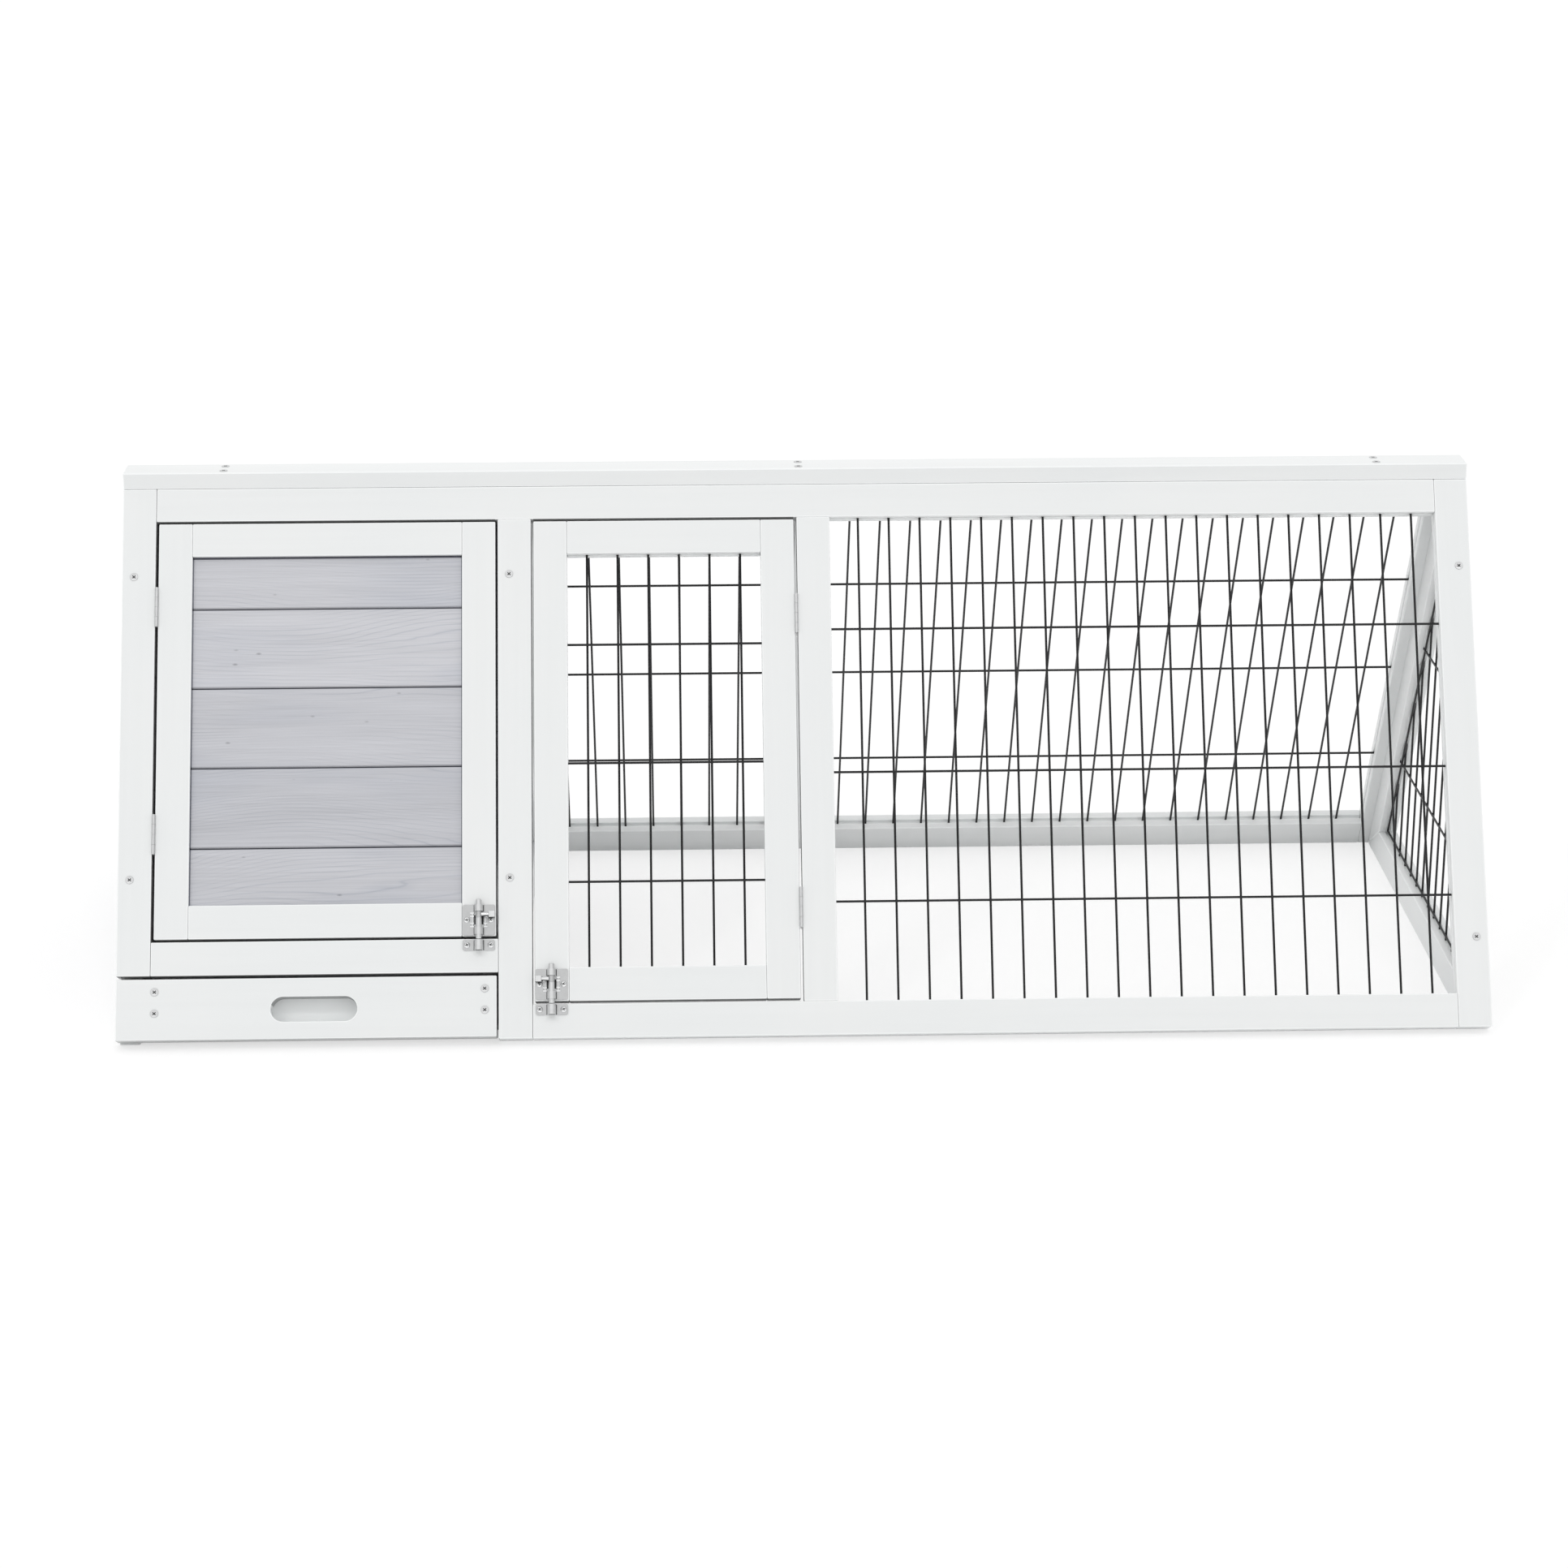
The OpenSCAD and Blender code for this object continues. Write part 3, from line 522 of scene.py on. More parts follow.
def as_object(name, bm, keys=()):
    """Turns a bmesh into an object of the scene with the given finishes."""
    mesh = bpy.data.meshes.new(name)
    bm.to_mesh(mesh)
    bm.free()
    for key in keys:
        mesh.materials.append(finish_of(key))
    return linked(name, mesh)


def new_piece(node, form, bm, keys):
    """Makes the piece that stands for a node, from a bmesh; it rides on the node's body."""
    body = BODY_OF[node]
    bmesh.ops.recalc_face_normals(bm, faces=bm.faces)
    piece = as_object(f"{node}_{form}", bm, keys)
    piece.data.shade_smooth()
    piece.data.set_sharp_from_angle(angle=CREASED)
    even = piece.modifiers.new("even_faces", "WEIGHTED_NORMAL")
    even.keep_sharp = True
    even.weight = 80
    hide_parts(*([node] if isinstance(node, str) else node))
    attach(piece, body)


def node_copy(node):
    """A copy of a node's mesh with its doubles merged."""
    bm = bmesh.new()
    bm.from_mesh(frame["nodes"][node].data)
    bmesh.ops.remove_doubles(bm, verts=bm.verts, dist=DOUBLES)
    return bm


def join_flats(bm):
    bmesh.ops.dissolve_limit(bm, angle_limit=FLAT, verts=bm.verts, edges=bm.edges)


def bevel(bm, geom, radius, segments, affect="EDGES", clamp=False):
    """Rounds edges or corners and returns the new faces."""
    return bmesh.ops.bevel(bm, geom=geom, offset=radius, offset_type="OFFSET", affect=affect,
                           segments=segments, profile=0.5, material=-1,
                           clamp_overlap=clamp)["faces"]


def split(bm, at, normal, faces=None):
    """Parts the given faces, or all of them, along a plane."""
    faces = bm.faces[:] if faces is None else faces
    parts = dict.fromkeys(g for f in faces for g in (*f.verts, *f.edges, f))
    bmesh.ops.bisect_plane(bm, geom=list(parts), dist=1e-7, plane_co=at, plane_no=normal)


def cut_away(body, tool, use_self=False):
    """Mesh of an object less another; both objects are removed."""
    cut = body.modifiers.new("cut", "BOOLEAN")
    cut.operation, cut.solver, cut.object, cut.use_self = "DIFFERENCE", "EXACT", tool, use_self
    graph = bpy.context.evaluated_depsgraph_get()
    done = bpy.data.meshes.new_from_object(body.evaluated_get(graph))
    for part in (body, tool):
        bpy.data.objects.remove(part)
    return done


def close_screw_holes(bm):
    """Closes the small round holes, whose rims have short edges; sink_screws makes new ones."""
    rim = {v for e in bm.edges if e.calc_length() < 1.0 * MM for v in e.verts}
    walls = [f for f in bm.faces if all(v in rim for v in f.verts)]
    bmesh.ops.delete(bm, geom=walls, context="FACES")
    bmesh.ops.holes_fill(bm, edges=[e for e in bm.edges if e.is_boundary], sides=0)
    join_flats(bm)


def straighten(bm, cuts):
    """Parts the flat faces round an opening along the given planes, not at random."""
    for at, normal in cuts:
        split(bm, at, normal)

    def on_cut(edge):
        return any(all(abs((v.co - at).dot(normal)) < 2e-6 for v in edge.verts)
                   for at, normal in cuts)

    flat = [e for e in bm.edges if len(e.link_faces) == 2
            and e.calc_face_angle(1.0) < 0.01 and not on_cut(e)]
    bmesh.ops.dissolve_edges(bm, edges=flat)


def panel_side(face):
    """Middle of a face and the way it looks, on the front panel's axes."""
    return TO_PANEL @ face.calc_center_median(), TO_PANEL.to_3x3() @ face.normal


def in_gap(face):
    """Whether a face lies in the narrow gap round a door or the tray's front."""
    at, way = panel_side(face)
    if abs(way.z) > 0.5:
        return False
    for x0, x1, s0, s1 in (HUT_DOOR, RUN_DOOR, TRAY_FRONT):
        out = max(x0 - at.x, at.x - x1, s0 - at.y, at.y - s1)
        if -1.0 * MM < out < 3.4 * MM:
            return x0 > TRAY_FRONT[0] or way.x > -0.5
    return False


def in_slot(face):
    """Whether a face is the upper wall of the tray's finger slot."""
    at, way = panel_side(face)
    return (abs(way.z) < 0.5 and way.y < -0.4 and abs(at.x - SLOT_AT[0]) < 40 * MM
            and SLOT_AT[1] < at.y < 40 * MM)


def single_screws(bm, node):
    """Yields each flush screw of a node: its vertices, the middle of its head and its axis."""
    seen = set()
    for first in bm.verts:
        if first in seen:
            continue
        seen.add(first)
        screw = [first]
        for v in screw:         # grows while it is walked
            fresh = [o for o in (e.other_vert(v) for e in v.link_edges) if o not in seen]
            seen.update(fresh)
            screw += fresh
        if node == "ridge_screws":
            up = Vector((0.0, 0.0, 1.0))
        else:
            up = Vector((0.0, -SA if first.co.y < 0 else SA, CA))
        top = max(v.co.dot(up) for v in screw)
        crown = [v.co for v in screw if v.co.dot(up) > top - 0.02 * MM]
        yield screw, sum(crown, Vector()) / len(crown), up


def sink_screws(bm, node, keys):
    """Sinks a flat hole round each flush screw head that lies in a board."""
    radius, depth = 3.6 * MM, 1.4 * MM
    low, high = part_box(node)
    cutter = bmesh.new()
    for screws in ("frame_screws", "ridge_screws", "tray_screws"):
        probe = node_copy(screws)
        for _, middle, up in single_screws(probe, screws):
            if all(a - MM < m < b + MM for a, m, b in zip(low, middle, high)):
                add_rod(cutter, middle - up * depth, middle + up * depth, radius, sides=32)
        probe.free()
    if not cutter.verts:
        cutter.free()
        return bm
    done = cut_away(as_object("part", bm, keys), as_object("part", cutter, keys))
    sunk = bmesh.new()
    sunk.from_mesh(done)
    bpy.data.meshes.remove(done)
    return sunk


def softened(node, keys, radius, shortest, cuts=()):
    """Replaces a node by a copy whose sharp edges longer than shortest are rounded.

    The second of the finishes goes on the rounded edges as a painted highlight, and the third into
    gaps and joints as painted shade.
    The fourth is painted shade on the upper wall of the tray's slot, or painted light on the top of
    the ridge board.
    """
    bm = node_copy(node)
    join_flats(bm)
    close_screw_holes(bm)
    if cuts:
        straighten(bm, cuts)
    sharp = [e for e in bm.edges if len(e.link_faces) == 2 and e.calc_length() > shortest
             and e.calc_face_angle(0.0) > SHARP]
    rounded = bevel(bm, sharp, radius, 2)
    if len(keys) > 1:
        # the rounded edges take the painted highlight
        for face in rounded:
            face.material_index = 1
    if len(keys) > 2:
        if node in ("front_top_rail", "front_run_sill"):
            for x in (*HUT_DOOR[:2], *RUN_DOOR[:2]):
                split(bm, (x, 0, 0), (1, 0, 0))
        bmesh.ops.recalc_face_normals(bm, faces=bm.faces)
        for face in bm.faces:
            # painted shade on butted rail ends, under the ridge board and in the gaps round the
            # doors and the tray
            butt = node in BUTTED and abs(face.normal.x) > 0.8
            under = node == "ridge_board" and face.normal.z < -0.5
            if butt or under or in_gap(face):
                face.material_index = 2
            # painted shade on the upper wall of the tray's slot
            if node == "tray_front" and in_slot(face):
                face.material_index = 3
            # painted light: the ridge board's top is paler than its sides
            if node == "ridge_board" and face.normal.z > 0.9 and not face.material_index:
                face.material_index = 3
    new_piece(node, "finished", sink_screws(bm, node, keys), keys)


def repaint(verts, index):
    """Gives the faces round some vertices another of their piece's finishes."""
    for face in {f for v in verts for f in v.link_faces}:
        face.material_index = index


def add_box(bm, low, high, radius=0.0):
    """A box between two corners, with rounded edges where a radius is given."""
    low, high = Vector(low), Vector(high)
    verts = bmesh.ops.create_cube(bm, size=1.0)["verts"]
    bmesh.ops.scale(bm, vec=high - low, verts=verts)
    bmesh.ops.translate(bm, vec=(low + high) / 2, verts=verts)
    if radius:
        edges = list({e for v in verts for e in v.link_edges})
        faces = bevel(bm, edges, radius, 3, clamp=True)
        verts = list({v for f in faces for v in f.verts} | {v for v in verts if v.is_valid})
    return verts


def add_rod(bm, start, end, r1, r2=None, sides=24):
    """A round bar from start to end, tapered where a second radius is given."""
    start, end = Vector(start), Vector(end)
    run = end - start
    turn = run.to_track_quat("Z", "Y").to_matrix().to_4x4()
    place = Matrix.Translation((start + end) / 2) @ turn
    return bmesh.ops.create_cone(bm, cap_ends=True, segments=sides, radius1=r1,
                                 radius2=r1 if r2 is None else r2, depth=run.length,
                                 matrix=place)["verts"]


def spin_profile(bm, points, centre, axis, steps, closed=False):
    """Turns a line of points once about an axis; a closed one ends where it starts."""
    verts = [bm.verts.new(p) for p in points]
    follow = verts[1:] + verts[:1] if closed else verts[1:]
    edges = [bm.edges.new(pair) for pair in zip(verts, follow)]
    bmesh.ops.spin(bm, geom=verts + edges, cent=centre, axis=axis, angle=2 * math.pi,
                   steps=steps, use_merge=True)
    bmesh.ops.remove_doubles(bm, verts=bm.verts, dist=0.002 * MM)


def mm(*values):
    """A point given in millimetres."""
    return Vector(values) * MM


# ---- timber and boards


class RABBITRUN_OT_timber(Operator):
    """Round the timber's edges and paint it"""

    bl_idname = "rabbit_run.timber"
    bl_label = "Paint the Timber"

    def execute(self, context):
        radius = setting("timber", "edge_radius")
        moving = ("hut_door", "run_door", "tray")
        at = FRONT_PANEL @ Vector((*SLOT_AT, 0.0))
        slot_cuts = ((at, Vector((1.0, 0.0, 0.0))), (at, Vector((0.0, CA, SA))))
        for key, nodes in TIMBER:
            for node in nodes:
                # gaps take painted shade, lighter on the doors and the tray, whose edges show when
                # they open
                gap = "edge_shade" if node.startswith(moving) else "gap_shade"
                keys, shortest, cuts = (key, "paint_arris", gap), 3.2 * MM, ()
                if node == "tray_front":
                    # the tray's front adds painted shade for its slot's upper wall
                    keys, shortest, cuts = (*keys, "paint_shade"), 1.2 * MM, slot_cuts
                elif node == "tray_inner_wall":
                    # the wall behind the slot takes the paler copy as painted light
                    keys = ("slot_wall_lit",)
                elif node == "ridge_board":
                    # the ridge's sides take a slightly shaded copy of the paint and its top a
                    # paler, lit one
                    keys = ("paint_ridge", "paint_arris", gap, "paint_crown")
                softened(node, keys, radius, shortest, cuts=cuts)
        return {"FINISHED"}


class RABBITRUN_OT_boards(Operator):
    """Stain the boards of the hut grey"""

    bl_idname = "rabbit_run.boards"
    bl_label = "Stain the Boards"

    def execute(self, context):
        for node, key in (("hut_door_boards", "boards_front"), ("back_hut_boards", "boards_back"),
                          ("left_end_boards", "boards_end"), ("partition_boards", "boards_end"),
                          ("tray_floor", "boards_flat")):
            softened(node, (key,), 0.25 * MM, 20 * MM)
        return {"FINISHED"}


# ---- welded wire


def wire_sizes():
    """Radius and sides of a wire, and how far it lies from the middle of its sheet."""
    radius = setting("wire", "wire_diameter") / 2
    return radius, setting("wire", "wire_sides"), radius - 0.05 * MM


def add_weld(bm, place, radius):
    """The small flattened blob where two wires are welded together."""
    made = bmesh.ops.create_icosphere(bm, subdivisions=1, radius=radius * 1.02)
    bmesh.ops.translate(bm, vec=Vector(place), verts=made["verts"])


def panel_mesh(node, panel, x_ends, s_ends, uprights, rows):
    """A sheet of welded wire in a panel's opening: uprights inside, cross wires outside.

    uprights gives how far the first and the last one stand from the sides, in mm, and the
    steps between them; rows gives the cross wires' heights as shares of the opening's.
    """
    radius, sides, step = wire_sizes()
    middle = -TIMBER_T / 2
    (x0, x1), (s0, s1) = x_ends, s_ends
    first, last, count = x0 + uprights[0] * MM, x1 - uprights[1] * MM, uprights[2]
    columns = [first + k * (last - first) / count for k in range(count + 1)]
    bm = bmesh.new()
    for x in columns:
        add_rod(bm, (x, s0 - GROOVE, middle - step), (x, s1 + GROOVE, middle - step), radius,
                sides=sides)
    for share in rows:
        s = s0 + share * (s1 - s0)
        add_rod(bm, (x0 - GROOVE, s, middle + step), (x1 + GROOVE, s, middle + step), radius,
                sides=sides)
        for x in columns:
            add_weld(bm, (x, s, middle), radius)
    bmesh.ops.transform(bm, matrix=panel, verts=bm.verts)
    new_piece(node, "wires", bm, ("wire",))


class RABBITRUN_OT_wire(Operator):
    """Draw the welded wire with round bars and welds"""

    bl_idname = "rabbit_run.wire"
    bl_label = "Weld the Wire"

    def execute(self, context):
        opening = (TIMBER_W, 455.6 * MM)
        run = (RUN_POST_X + TIMBER_W, RIGHT - TIMBER_W)
        bay = (PARTITION_X + TIMBER_W, RUN_POST_X)
        back_rows = (0.2148, 0.4946, 0.7669)
        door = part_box("run_door_stiles")
        door_x = (door[0].x + TIMBER_W, door[1].x - TIMBER_W)
        panel_mesh("front_run_mesh", FRONT_PANEL, run, opening, (25.3, 19.66, 18),
                   (0.2033, 0.4693, 0.7671))
        panel_mesh("back_run_mesh", BACK_PANEL, run, opening, (20.7, 24.31, 18), back_rows)
        panel_mesh("back_door_mesh", BACK_PANEL, bay, opening, (20.9, 21.04, 7), back_rows)
        panel_mesh("run_door_mesh", FRONT_PANEL, door_x, (60.7 * MM, 424.4 * MM),
                   (17.3, 17.85, 5), (0.2059, 0.4916, 0.7800))
        self.end_mesh()
        return {"FINISHED"}

    def end_mesh(self):
        """The triangle of wire in the right end frame."""
        radius, sides, step = wire_sizes()
        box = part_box("right_end_mesh")
        centre = (box[0].x + box[1].x) / 2
        half_base = 235.136 * MM
        groove = TIMBER_W - GROOVE
        border = TIMBER_W + 2.6 * MM

        def half_width(depth, z):
            return half_base - (depth + z * CA) / SA

        def peak(depth):
            return (half_base * SA - depth) / CA

        bm = bmesh.new()

        def bar(side, start, end):
            """A wire on one side of the sheet, between two places given as y and z."""
            x = centre + side * step
            add_rod(bm, (x, *start), (x, *end), radius, sides=sides)

        uprights = []
        for k in range(-9, 10):
            y = (-8.4 + 27.4 * k) * MM
            top = peak(groove) - (abs(y) + radius) * SA / CA
            if top > TIMBER_W + 12 * MM:
                bar(1, (y, groove), (y, top))
                uprights.append((y, top))
        for z in (0.275 * peak(0.0), 0.593 * peak(0.0)):
            reach = half_width(groove, z + radius)
            bar(-1, (-reach, z), (reach, z))
            for y, top in uprights:
                if top > z:
                    add_weld(bm, (centre, y, z), radius)
        foot = half_width(border, border)
        for side in (-1, 1):
            bar(-1, (side * foot, border), (0.0, peak(border)))
        bar(-1, (-foot, border), (foot, border))
        new_piece("right_end_mesh", "wires", bm, ("wire",))


# ---- bolts, hinges and screws

# A bolt's sizes are mm on its own axes: x across it, s along its rod, n out of the timber.
PLATE_X = (-13.9, 13.7)
PLATE_T = 1.0
PLATE_STRAPS = ((89.4, 95.4), (109.4, 115.0))
STOP_X, LUG_X = 5.4, 5.7
STRAP_N, STRAP_OUTER, STRAP_INNER, STRAP_FOOT = 4.1, 3.8, 2.95, 0.2
ROD_N, NECK_R = 4.4, 1.5
LEVER_S = 106.6
SCREW_X, SCREW_N, PLATE_SCREW_S, KEEPER_SCREW_S = 10.2, 0.95, 102.4, 80.7
ALONG_ROD = (0.0, 1.0, 0.0)


def latch_place(which):
    """Place of a bolt on the front panel; the run door's bolt is the mirror image."""
    if which == "hut":
        return FRONT_PANEL @ Matrix.Translation((PARTITION_X - 16.6 * MM, 0.0, 0.0))
    flip = Matrix.Diagonal((-1.0, 1.0, 1.0, 1.0))
    at = Matrix.Translation((PARTITION_X + TIMBER_W + 16.3 * MM, -56.2 * MM, 0.0))
    return FRONT_PANEL @ at @ flip


def fit_latch(bm, which, part, form, keys):
    """Sets a part of a bolt in its place on the panel."""
    bmesh.ops.transform(bm, matrix=latch_place(which), verts=bm.verts)
    new_piece(f"{which}_{part}", form, bm, keys)


def pierced_plate(bm, s0, s1, holes, corner):
    """A pressed plate with rounded corners; a hole is its x0, x1, s0 and s1."""
    x0, x1 = PLATE_X
    made = bmesh.ops.create_grid(bm, x_segments=1, y_segments=1, size=1.0)["verts"]
    for v in made:
        v.co = mm(x1 if v.co.x > 0 else x0, s1 if v.co.y > 0 else s0, 0.0)
    bevel(bm, made, corner * MM, 6, "VERTICES")
    for x in (x for hole in holes for x in hole[:2]):
        split(bm, mm(x, 0.0, 0.0), (1.0, 0.0, 0.0))
    middle = max(abs(x) for hole in holes for x in hole[:2]) * MM
    for row in (s for hole in holes for s in hole[2:]):
        split(bm, mm(0.0, row, 0.0), ALONG_ROD,
              [f for f in bm.faces if abs(f.calc_center_median().x) < middle])
    gone = []
    for face in bm.faces:
        mid = face.calc_center_median() / MM
        if any(a < mid.x < b and c < mid.y < d for a, b, c, d in holes):
            gone.append(face)
    bmesh.ops.delete(bm, geom=gone, context="FACES")
    solid = bmesh.ops.extrude_face_region(bm, geom=bm.faces[:])
    raised = [g for g in solid["geom"] if isinstance(g, bmesh.types.BMVert)]
    bmesh.ops.translate(bm, vec=(0.0, 0.0, PLATE_T * MM), verts=raised)
    bmesh.ops.recalc_face_normals(bm, faces=bm.faces)
    rim = [e for e in bm.edges if len(e.link_faces) == 2
           and all(abs(v.co.z - PLATE_T * MM) < 1e-7 for v in e.verts)
           and max(abs(f.normal.z) for f in e.link_faces) > 0.9
           and min(abs(f.normal.z) for f in e.link_faces) < 0.1]
    bevel(bm, rim, 0.2 * MM, 2, clamp=True)


def add_straps(bm, rows, index):
    """Pressed straps that bridge the rod, each from one s to another."""
    plate = set(bm.faces)
    for s0, s1 in rows:
        start = [bm.verts.new(mm(-STRAP_OUTER, s, STRAP_N)) for s in (s0, s1)]
        back = [bm.verts.new(mm(-STRAP_INNER, s, STRAP_N)) for s in (s1, s0)]
        face = bm.faces.new(start + back)
        made = bmesh.ops.spin(bm, geom=[face], cent=mm(0.0, 0.0, STRAP_N), axis=ALONG_ROD,
                              angle=math.pi, steps=16)
        for end in [face] + [g for g in made["geom_last"] if isinstance(g, bmesh.types.BMFace)]:
            if not end.is_valid:
                continue
            leg = bmesh.ops.extrude_face_region(bm, geom=[end])
            for v in leg["geom"]:
                if isinstance(v, bmesh.types.BMVert):
                    v.co.z = STRAP_FOOT * MM
            if end.is_valid:
                bmesh.ops.delete(bm, geom=[end], context="FACES_ONLY")
    for face in set(bm.faces) - plate:
        face.material_index = index


def add_shade_sheet(bm, half, s0, s1):
    """A thin near-black sheet behind the slots of a plate, as painted shade in the slots."""
    repaint(add_box(bm, mm(-half, s0, 0.02), mm(half, s1, 0.12)), 1)


def latch_plate(which):
    """Base plate of a slide bolt with its two straps, stop bars and slots."""
    bm = bmesh.new()
    slots = [(*x, *row) for row in PLATE_STRAPS for x in ((-4.3, -3.85), (3.85, 4.3))]
    pierced_plate(bm, 89.0, 115.5, slots + [(-3.9, 3.9, 98.4, 106.4)], 1.2)
    add_straps(bm, PLATE_STRAPS, 3)
    # the stop bars take the lighter zinc of the straps, a painted highlight
    for side in (-1, 1):
        repaint(add_box(bm, mm(side * STOP_X - 0.95, 97.0, 0.6),
                        mm(side * STOP_X + 0.95, 107.8, 2.0), 0.55 * MM), 3)
    # the lugs take the brightest zinc as a painted highlight
    for side in (-1, 1):
        for row in (96.6, 99.4, 105.4, 108.2):
            repaint(add_box(bm, mm(side * LUG_X - 2.0, row - 0.75, 0.7),
                            mm(side * LUG_X + 2.0, row + 0.75, 2.2), 0.6 * MM), 2)
    add_shade_sheet(bm, 5.2, 89.3, 115.1)
    fit_latch(bm, which, "bolt_plate", "pressed", ("zinc", "grease", "zinc_highlight", "zinc_strap"))


def latch_keeper(which):
    """Keeper plate with its strap."""
    bm = bmesh.new()
    pierced_plate(bm, 75.8, 85.3, [(-4.35, -3.85, 76.1, 84.8), (3.85, 4.35, 76.1, 84.8)], 1.8)
    add_straps(bm, ((76.0, 84.8),), 2)
    add_shade_sheet(bm, 5.1, 76.0, 85.1)
    fit_latch(bm, which, "keeper", "pressed", ("zinc", "grease", "zinc_strap"))


def latch_rod(which):
    """Sliding rod with a rounded tip, its neck for the lever and a rounded tail."""
    r = setting("fittings", "bolt_diameter") / 2 / MM
    profile = ((0.0, 85.3), (0.55 * r, 85.35), (0.86 * r, 85.8), (r, 86.7), (r, 103.7),
               (r - 0.2, 103.9), (NECK_R, 103.9), (NECK_R, 109.3), (r - 0.2, 109.3), (r, 109.5),
               (r, 119.2), (r - 0.5, 119.8), (r - 1.2, 120.0), (0.0, 120.0))
    bm = bmesh.new()
    spin_profile(bm, [mm(x, s, ROD_N) for x, s in profile], mm(0.0, 0.0, ROD_N), ALONG_ROD, 40)
    fit_latch(bm, which, "bolt_rod", "turned", ("zinc_strap",))


def latch_lever(which):
    """Lever: a ring on the rod's neck, a tapered stem and a boxy thumb piece."""
    bm = bmesh.new()
    ring = ((1.68, -2.5), (2.45, -2.6), (2.62, -2.4), (2.62, 2.4), (2.45, 2.6), (1.68, 2.5))
    spin_profile(bm, [mm(x, LEVER_S + s, ROD_N) for x, s in ring], mm(0.0, LEVER_S, ROD_N),
                 ALONG_ROD, 36, closed=True)
    # the stem and thumb piece take the brightest zinc as a painted highlight
    repaint(add_rod(bm, mm(2.3, LEVER_S, ROD_N), mm(9.2, LEVER_S, ROD_N), 2.2 * MM, 1.5 * MM), 1)
    repaint(add_box(bm, mm(8.4, LEVER_S - 2.75, ROD_N - 2.3),
                    mm(14.0, LEVER_S + 2.75, ROD_N + 2.3), 0.7 * MM), 1)
    bmesh.ops.recalc_face_normals(bm, faces=bm.faces)
    for face in bm.faces:
        # painted shade: the faces of the stem and thumb piece that face the plate are near-black
        if face.material_index and (face.normal.z < -0.45 or face.normal.y < -0.55):
            face.material_index = 2
    fit_latch(bm, which, "bolt_lever", "cast", ("zinc", "zinc_highlight", "grease"))


def pan_head_mesh():
    """A domed screw head with a cross recess, on a plain shank, axis up Z."""
    r = setting("fittings", "pan_head_diameter") / 2 / MM
    arm, half_arm, depth = 1.45, 0.33, 0.55
    profile = ((0.0, 1.65), (0.30 * r, 1.60), (0.62 * r, 1.36), (0.86 * r, 0.94),
               (0.98 * r, 0.42), (r, 0.10), (r, 0.0), (1.5, 0.0), (1.5, -10.5), (0.0, -12.0))
    head, cross = bmesh.new(), bmesh.new()
    spin_profile(head, [mm(x, 0.0, z) for x, z in profile], (0, 0, 0), (0, 0, 1), 28)
    for angle in (0.0, math.pi / 2):
        verts = add_box(cross, mm(-arm, -half_arm, depth), mm(arm, half_arm, 3.0))
        bmesh.ops.transform(cross, matrix=Matrix.Rotation(angle, 4, "Z"), verts=verts)
    for bm in (head, cross):
        bmesh.ops.recalc_face_normals(bm, faces=bm.faces)
    done = cut_away(as_object("pan_head", head), as_object("cross_recess", cross), True)
    # the walls and floor of the cross recess take painted shade
    for face in done.polygons:
        mid, reach = face.center, Vector(face.center[:2]).length
        inside = min(abs(mid.x), abs(mid.y)) < 0.34 * MM and reach < 1.47 * MM
        ground = inside and mid.z < 0.6 * MM and face.normal.z > 0.9
        wall = abs(face.normal.z) < 0.3 and mid.z > 0.3 * MM and reach < 1.5 * MM
        face.material_index = int(wall or ground)
    return done


def dark_crosses(node, key):
    """A copy of a node of flush screws whose cross recesses carry painted shade."""
    bm = node_copy(node)
    bmesh.ops.recalc_face_normals(bm, faces=bm.faces)
    for screw, middle, up in single_screws(bm, node):
        for face in {f for v in screw for f in v.link_faces}:
            arm = face.calc_center_median() - middle
            depth = -arm.dot(up)
            # the recess takes painted shade
            if 0.02 * MM < depth < 1.2 * MM and (arm + up * depth).length < 2.6 * MM:
                face.material_index = 1
    new_piece(node, "finished", bm, (key, "zinc_recess"))


def pan_heads(node, head, places):
    """A set of small domed screws; places are (matrix, turn of the recess)."""
    bm = bmesh.new()
    for place, turn in places:
        verts, faces = len(bm.verts), len(bm.faces)
        bm.from_mesh(head)
        bmesh.ops.transform(bm, matrix=place @ Matrix.Rotation(turn, 4, "Z"),
                            verts=bm.verts[verts:])
        if place.determinant() < 0:
            bmesh.ops.reverse_faces(bm, faces=bm.faces[faces:])
    new_piece(node, "domed", bm, ("zinc_screw", "zinc_recess"))


class RABBITRUN_OT_bolts(Operator):
    """Fit the two slide bolts with their keepers and screws"""

    bl_idname = "rabbit_run.bolts"
    bl_label = "Fit the Slide Bolts"

    def execute(self, context):
        for which in ("hut", "run"):
            for make in (latch_plate, latch_keeper, latch_rod, latch_lever):
                make(which)
        head = pan_head_mesh()
        keeper = []
        for which, turns in (("hut", (0.2, 0.75)), ("run", (0.55, 0.35))):
            plate = []
            for x, turn in zip((-SCREW_X, SCREW_X), turns):
                for places, s, more in ((plate, PLATE_SCREW_S, 0.0), (keeper, KEEPER_SCREW_S, 0.4)):
                    at = latch_place(which) @ Matrix.Translation(mm(x, s, SCREW_N))
                    places.append((at, turn + more))
            pan_heads(which + "_bolt_screws", head, plate)
        pan_heads("keeper_screws", head, keeper)
        return {"FINISHED"}


